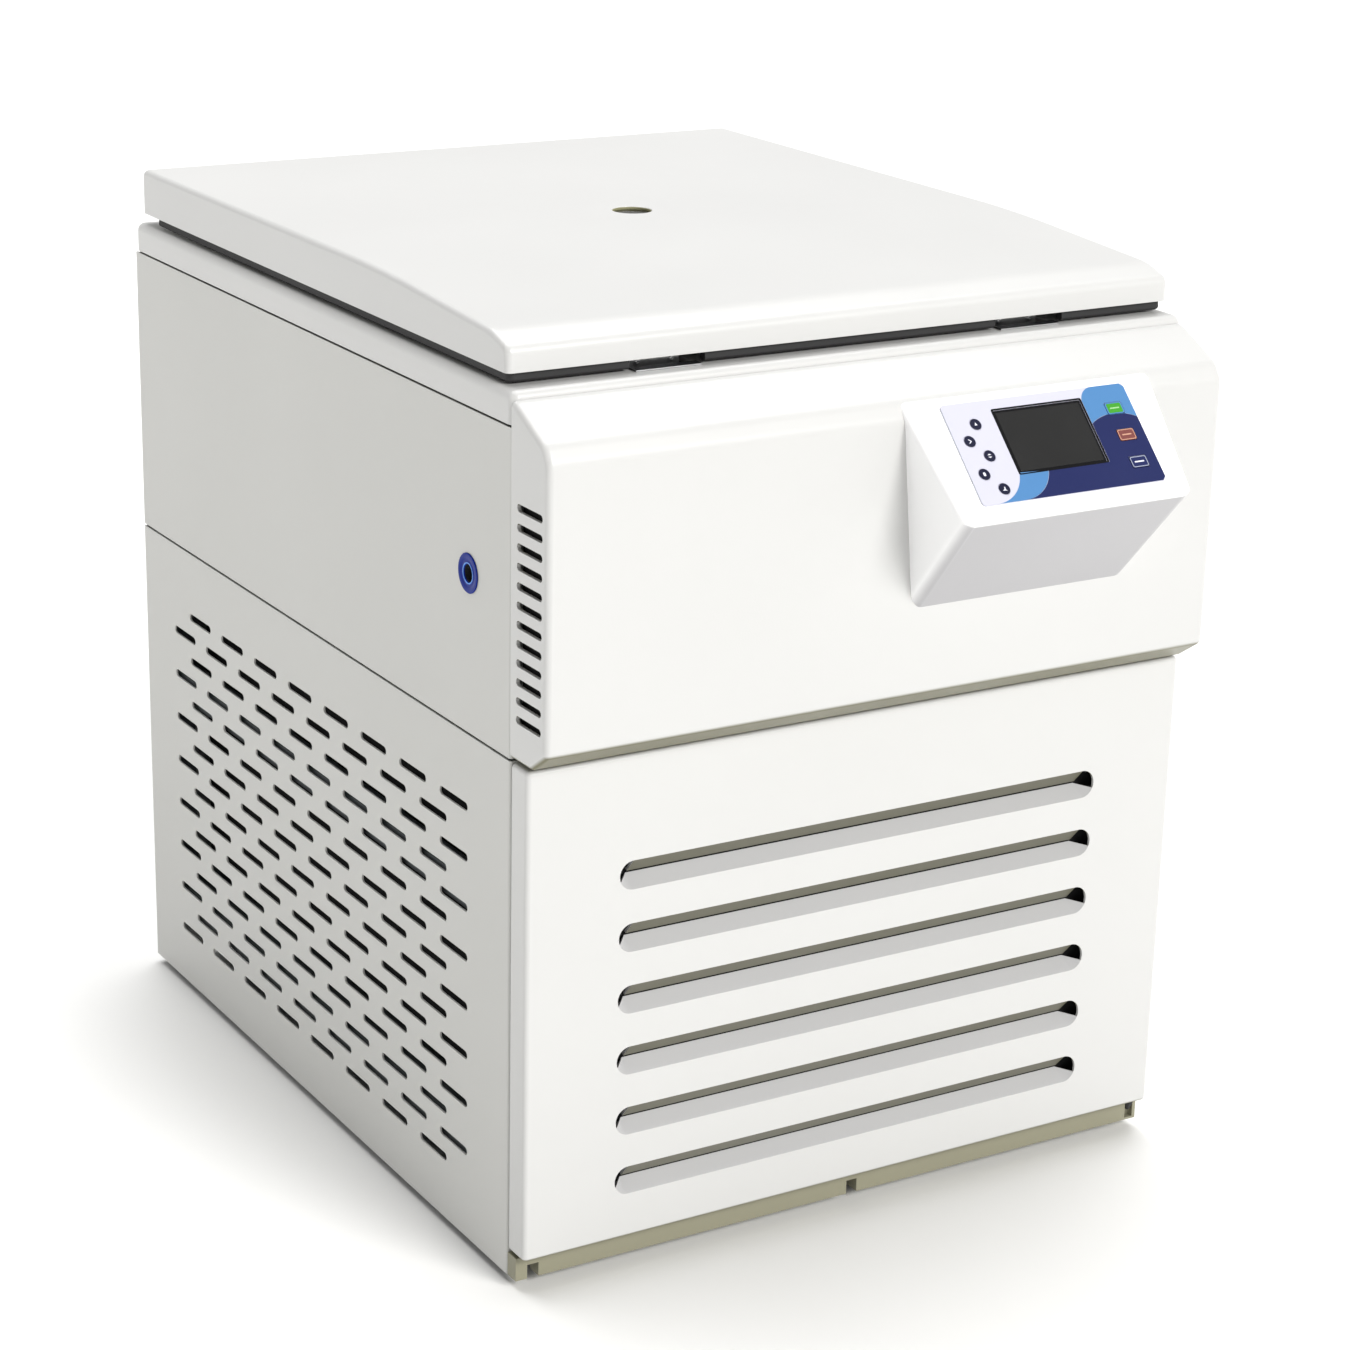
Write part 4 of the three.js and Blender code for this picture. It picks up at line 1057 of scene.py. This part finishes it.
# ---------- castors, cooling and electrics ----------
def make_wheels():
    tyre = mirrored([(18, 10.4), (22.4, 11), (24.2, 9.8), (25, 7)])
    hub = mirrored([(4.6, 10.8), (7.4, 10.8), (8, 9), (9, 7), (16, 7), (17, 9.8), (18.1, 10.2)])
    for corner in ("front_left", "front_right", "rear_left", "rear_right"):
        node = f"castor_wheel_{corner}"
        at = Matrix.Translation(centre_of(node)) @ ALONG_X
        bm = bmesh.new()
        add_lathe(bm, tyre, at, 72)
        add_lathe(bm, hub, at, 72, 1)
        piece(f"tyre_and_hub_{corner}", bm, ["grey_tyre", "liner_plastic"], node, body=node)


def make_compressor():
    x, y, _ = centre_of("compressor")
    profile = fillet([(0, 79.6), (70, 79.6), (88, 101.6), (88, 232), (70, 258), (30, 270), (0, 270)],
                     [16, 30, 34, 26, 16], 7)
    bm = bmesh.new()
    add_lathe(bm, profile, upright(x, y), 96)
    add_lathe(bm, [(87.6, 168), (88, 168.5), (88, 172.5), (87.6, 173)], upright(x, y), 96)
    for dx, dy in ((-68, -68), (68, -68), (68, 68), (-68, 68)):
        add_plate(bm, block(x + dx, y + dy, 16, 16, 5), (), 82, 85)
    piece("compressor_case", bm, "black_enamel", "compressor", bevel=0.4)
    bm = bmesh.new()
    add_plate(bm, block(x - 69, y, 15, 24, 3), (), 160, 200)
    piece("compressor_terminal_box", bm, "black_plastic", bevel=1.5, segments=3)


def make_condenser():
    """Two rows of copper tube through pressed fins, between galvanised end plates."""
    (_, y0, z0), (_, y1, z1) = cad_box("condenser")
    bm = bmesh.new()
    for x in (4.8 * k for k in range(-46, 47)):
        add_box(bm, x - 0.5, x + 0.5, y0 + 3, y1 - 3, z0 + 5, z1 - 5)
    piece("condenser_fins", bm, "heat_exchanger", "condenser")
    bm = bmesh.new()
    for x in (-226, 226):
        add_box(bm, x - 1, x + 1, y0, y1, z0, z1)
    for z in (z0 + 1, z1 - 1):
        add_box(bm, -227, 227, y0, y1, z - 1, z + 1)
    piece("condenser_end_plates", bm, "zinc_steel", bevel=0.3)
    tubes, pitch, end = 11, 26.4, 228
    bm = bmesh.new()
    for y in (y0 + 11, y1 - 11):
        for k in range(tubes):
            z = 118 + pitch * k
            add_tube(bm, [(-end, y, z), (end, y, z)], 4)
            if k < tubes - 1:
                s = 1 if k % 2 else -1
                add_tube(bm, [(s * (end - 1 + 3 * math.sin(t)), y, z + pitch / 2 * (1 - math.cos(t)))
                              for t in (PI * j / 10 for j in range(11))], 2.9, 10)
    piece("condenser_tubes", bm, "copper")


def make_fan_cowl():
    (x0, front, low), (x1, rear, high) = cad_box("fan_shroud")
    profile = fillet([(rear, high), (front, high), (front, low), (rear, low)], [5, 5], 4)
    bm = cover_skin(profile, x0, x1, 5, 4)
    mouth = ((132, front), (130.6, -221), (129.8, -219.4), (129.6, -216))
    circles = [[(x, y, z) for x, z in ring(r, 96, (0, FAN_Z))] for r, y in mouth]
    rim = pierce(bm, flat_face(bm, (0, -1, 0)), circles[:1])
    skin(bm, rim + [[bm.verts.new(p) for p in circle] for circle in circles[1:]], True)
    piece("fan_cowl", bm, "black_plastic", "fan_shroud", open_skin=True, shell=2.5)


def make_fan():
    """Hub, five twisted blades, and the motor on its three-legged bracket behind the cowl."""
    centre = Vector((0, FAN_Y, FAN_Z))
    hub = Matrix.Translation(centre) @ ALONG_Y
    bm = bmesh.new()
    add_lathe(bm, [(0, -12), (24, -12), (29, -9), (30, -5), (30, 10), (28, 12), (0, 12)], hub, 64)
    piece("fan_hub", bm, "black_plastic", "cooling_fan", body="cooling_fan", bevel=0.6)
    root, tip, half_depth = 27, 124, 11.4
    bm = bmesh.new()
    for blade in range(5):
        spin = Matrix.Rotation(2 * PI * blade / 5, 4, "Y")
        rows = []
        for out in (i / 8 for i in range(9)):
            r = root + (tip - root) * out
            pitch = math.radians(40 - 18 * out)
            chord = 46 + 18 * math.sin(PI * 0.6 * out)
            lead = math.radians(10) * out ** 2
            row = []
            for across in (k / 6 for k in range(7)):
                c = chord * (across - 0.5)
                t = lead + c * math.cos(pitch) / r
                camber = 1.6 * (1 - (2 * across - 1) ** 2)
                depth = max(-half_depth, min(half_depth, c * math.sin(pitch) * 0.5 + camber))
                place = spin @ Vector((r * math.cos(t), depth, r * math.sin(t)))
                row.append(bm.verts.new(place + centre))
            rows.append(row)
        skin(bm, rows)
    piece("fan_blades", bm, "black_plastic", body="cooling_fan", shell=1.6, bevel=0.3)
    bm = bmesh.new()
    add_lathe(bm, [(0, 15), (30, 15), (34, 19), (34, 52), (28, 58), (0, 58)], hub, 56)
    stations = ((30, -165), (100, -165), (142, -180))
    for leg in zip(*(ring(r, 3, (0, FAN_Z), PI / 2) for r, _ in stations)):
        add_tube(bm, [(x, y, z) for (x, z), (_, y) in zip(leg, stations)], 3.5)
    piece("fan_motor", bm, "black_enamel", bevel=0.6)


def make_inverter():
    (x0, y0, z0), (x1, y1, z1) = cad_box("inverter_box")
    face = y0 + 12                                 # the ribs stand this side of the case
    bm = bmesh.new()
    add_box(bm, x0, x1, face, y1, z0, z1)
    for x in (11.75 * k for k in range(-16, 17)):
        add_box(bm, x - 1.2, x + 1.2, y0, face + 2, z0 + 15, z1 - 15)
    piece("inverter_case", bm, "aluminium", "inverter_box", slot="heat_exchanger", bevel=0.6)
    places = [(x, face, z) for x in (-192, 192) for z in (438, 525, 612)]
    screws("inverter_screws", (0, -1, 0), [(3, places)])


def make_wiring():
    """A sleeved loom from the inlet to the inverter, the motor's leads, and the inlet's pins."""
    bm = bmesh.new()
    add_tube(bm, smooth_path([(210, 394, 140), (214, 372, 128), (222, 300, 104), (236, 120, 96),
                              (238, -60, 96), (236, -150, 120), (228, -190, 250), (214, -214, 380),
                              (198, -224, 424), (188, -226, 433)]), 6, 14)
    piece("mains_loom", bm, "black_rubber")
    bm = bmesh.new()
    for i, dx in enumerate((-7, 0, 7)):
        add_tube(bm, smooth_path([(40 + dx, -206, 450), (44 + dx, -190, 440), (50 + dx, -120, 410),
                                  (52 + dx, -50, 396), (48 + dx, -12, 392)], 8), 2.6, 10, i)
    piece("motor_leads", bm, ["wire_red", "wire_blue", "wire_green"], slot="black_rubber")
    bm = bmesh.new()
    for x, z in ((INLET_X - 6, 124), (INLET_X + 6, 124), (INLET_X, 129)):
        add_box(bm, x - 1, x + 1, 411, 424, z - 2, z + 2)
    piece("inlet_pins", bm, "brass", slot="zinc_steel", bevel=0.3)


def make_refrigerant_lines():
    """Hot gas to the condenser, and the insulated suction line up to the chamber."""
    bm = bmesh.new()
    add_tube(bm, smooth_path([(60, 250, 215), (20, 252, 220), (-40, 240, 200), (-180, 160, 150),
                              (-245, 0, 130), (-250, -150, 128), (-246, -220, 124), (-228, -233, 118)]), 4)
    piece("hot_gas_line", bm, "copper")
    bm = bmesh.new()
    add_tube(bm, smooth_path([(186, 300, 226), (214, 322, 250), (244, 318, 330), (252, 280, 440),
                              (248, 200, 520), (238, 150, 545)]), 9, 16)
    piece("suction_line", bm, "pipe_foam", slot="black_rubber")


def make_shade_baffles():
    """Foam-faced sheets inside the perforated panels, standing off so that air can pass round them; their
    black foam is also a dark sheet standing in for the shade seen through the slots.
    """
    for side, s in SIDES:
        bm = bmesh.new()
        add_plate(bm, rect(-256, 380, 108, 436, 12, 5), (), 264, 265.2, yz_plane(s))
        add_plate(bm, rect(-253, 377, 111, 433, 10, 5), (), 265.2, 271, yz_plane(s), 1)
        piece(f"acoustic_shade_baffle_{side}", bm, ["frame_steel", "pipe_foam"], slot="black_rubber",
              bevel=0.8, angle=50)


# ---------- hinge and latch details ----------
def make_door_pivot():
    x, y, _ = centre_of("door_pivot_pin")
    bm = bmesh.new()
    add_lathe(bm, [(0, 17), (1.4, 17), (2.2, 17.8), (4.6, 23.6), (4.9, 25), (4.9, 29.4), (4.5, 29.7),
                   (0, 29.7)], upright(x, y), 40)
    piece("door_pivot", bm, "black_rubber", "door_pivot_pin")


def make_hinge_springs():
    """Torsion springs round the lid's hinge pins carry its weight."""
    turns, steps, length = 5, 20, 18
    coil = ring(8, steps, (HINGE_Y, HINGE_Z))
    for side, s in SIDES:
        bm = bmesh.new()
        for k in (1, -1):
            start = s * HINGE_X + k * 24
            add_tube(bm, [(start + k * length * i / (turns * steps), *coil[i % steps])
                          for i in range(turns * steps + 1)], 1.3, 10)
        piece(f"hinge_spring_{side}", bm, "zinc_steel", body="lid")


def make_hinge_and_latch_screws():
    offsets = [(s, dx) for s in (-1, 1) for dx in (-15, 15)]
    screws("hinge_bracket_screws", (0, 0, 1), [(2.4, [(s * HINGE_X + dx, 395, 729) for s, dx in offsets])])
    screws("striker_screws", (0, -1, 0), [(2.6, [(s * LATCH_X + dx, -261, 728) for s, dx in offsets])], "lid")


def dress_nodes():
    # the plinth takes a dark olive painted shade
    for node, look, bevel in (
        ("main_frame", "frame_steel", 1.4), ("motor_plate", "frame_steel", 0.9),
        ("front_plinth", "plinth_painted_shade", 1.2), ("power_inlet", "black_plastic", 0.7),
        ("mains_rocker", "black_plastic", 0.7),
    ):
        dress(node, look, bevel)
    for side in ("left", "right"):
        for node, bevel in (("castor_fork_front", 0.8), ("castor_bracket_rear", 0.8), ("lid_striker", 0.9),
                            ("latch_hook", 0.7), ("hinge_bracket", 0.6)):
            dress(f"{node}_{side}", "zinc_steel", bevel)


make_camera()
make_light()
make_materials()
make_floor()
for side, sign in SIDES:
    for level in ("lower", "upper"):
        side_panel(side, sign, level)
for make in (make_rear, make_release_port, make_cover, make_vent_shade_filters, make_door, make_door_filter,
             make_deck, make_latch_lips, make_lid, make_lid_lugs, make_liner, make_view_port,
             make_edge_seal, make_housing, make_label, make_screen, make_round_keys, make_square_keys,
             make_chamber, make_evaporator, make_armour, make_drive, make_rotor, make_rotor_lid,
             make_rotor_knob, make_wheels, make_compressor, make_condenser, make_fan_cowl, make_fan,
             make_inverter, make_wiring, make_refrigerant_lines, make_shade_baffles, make_door_pivot,
             make_hinge_springs, make_hinge_and_latch_screws, dress_nodes):
    make()
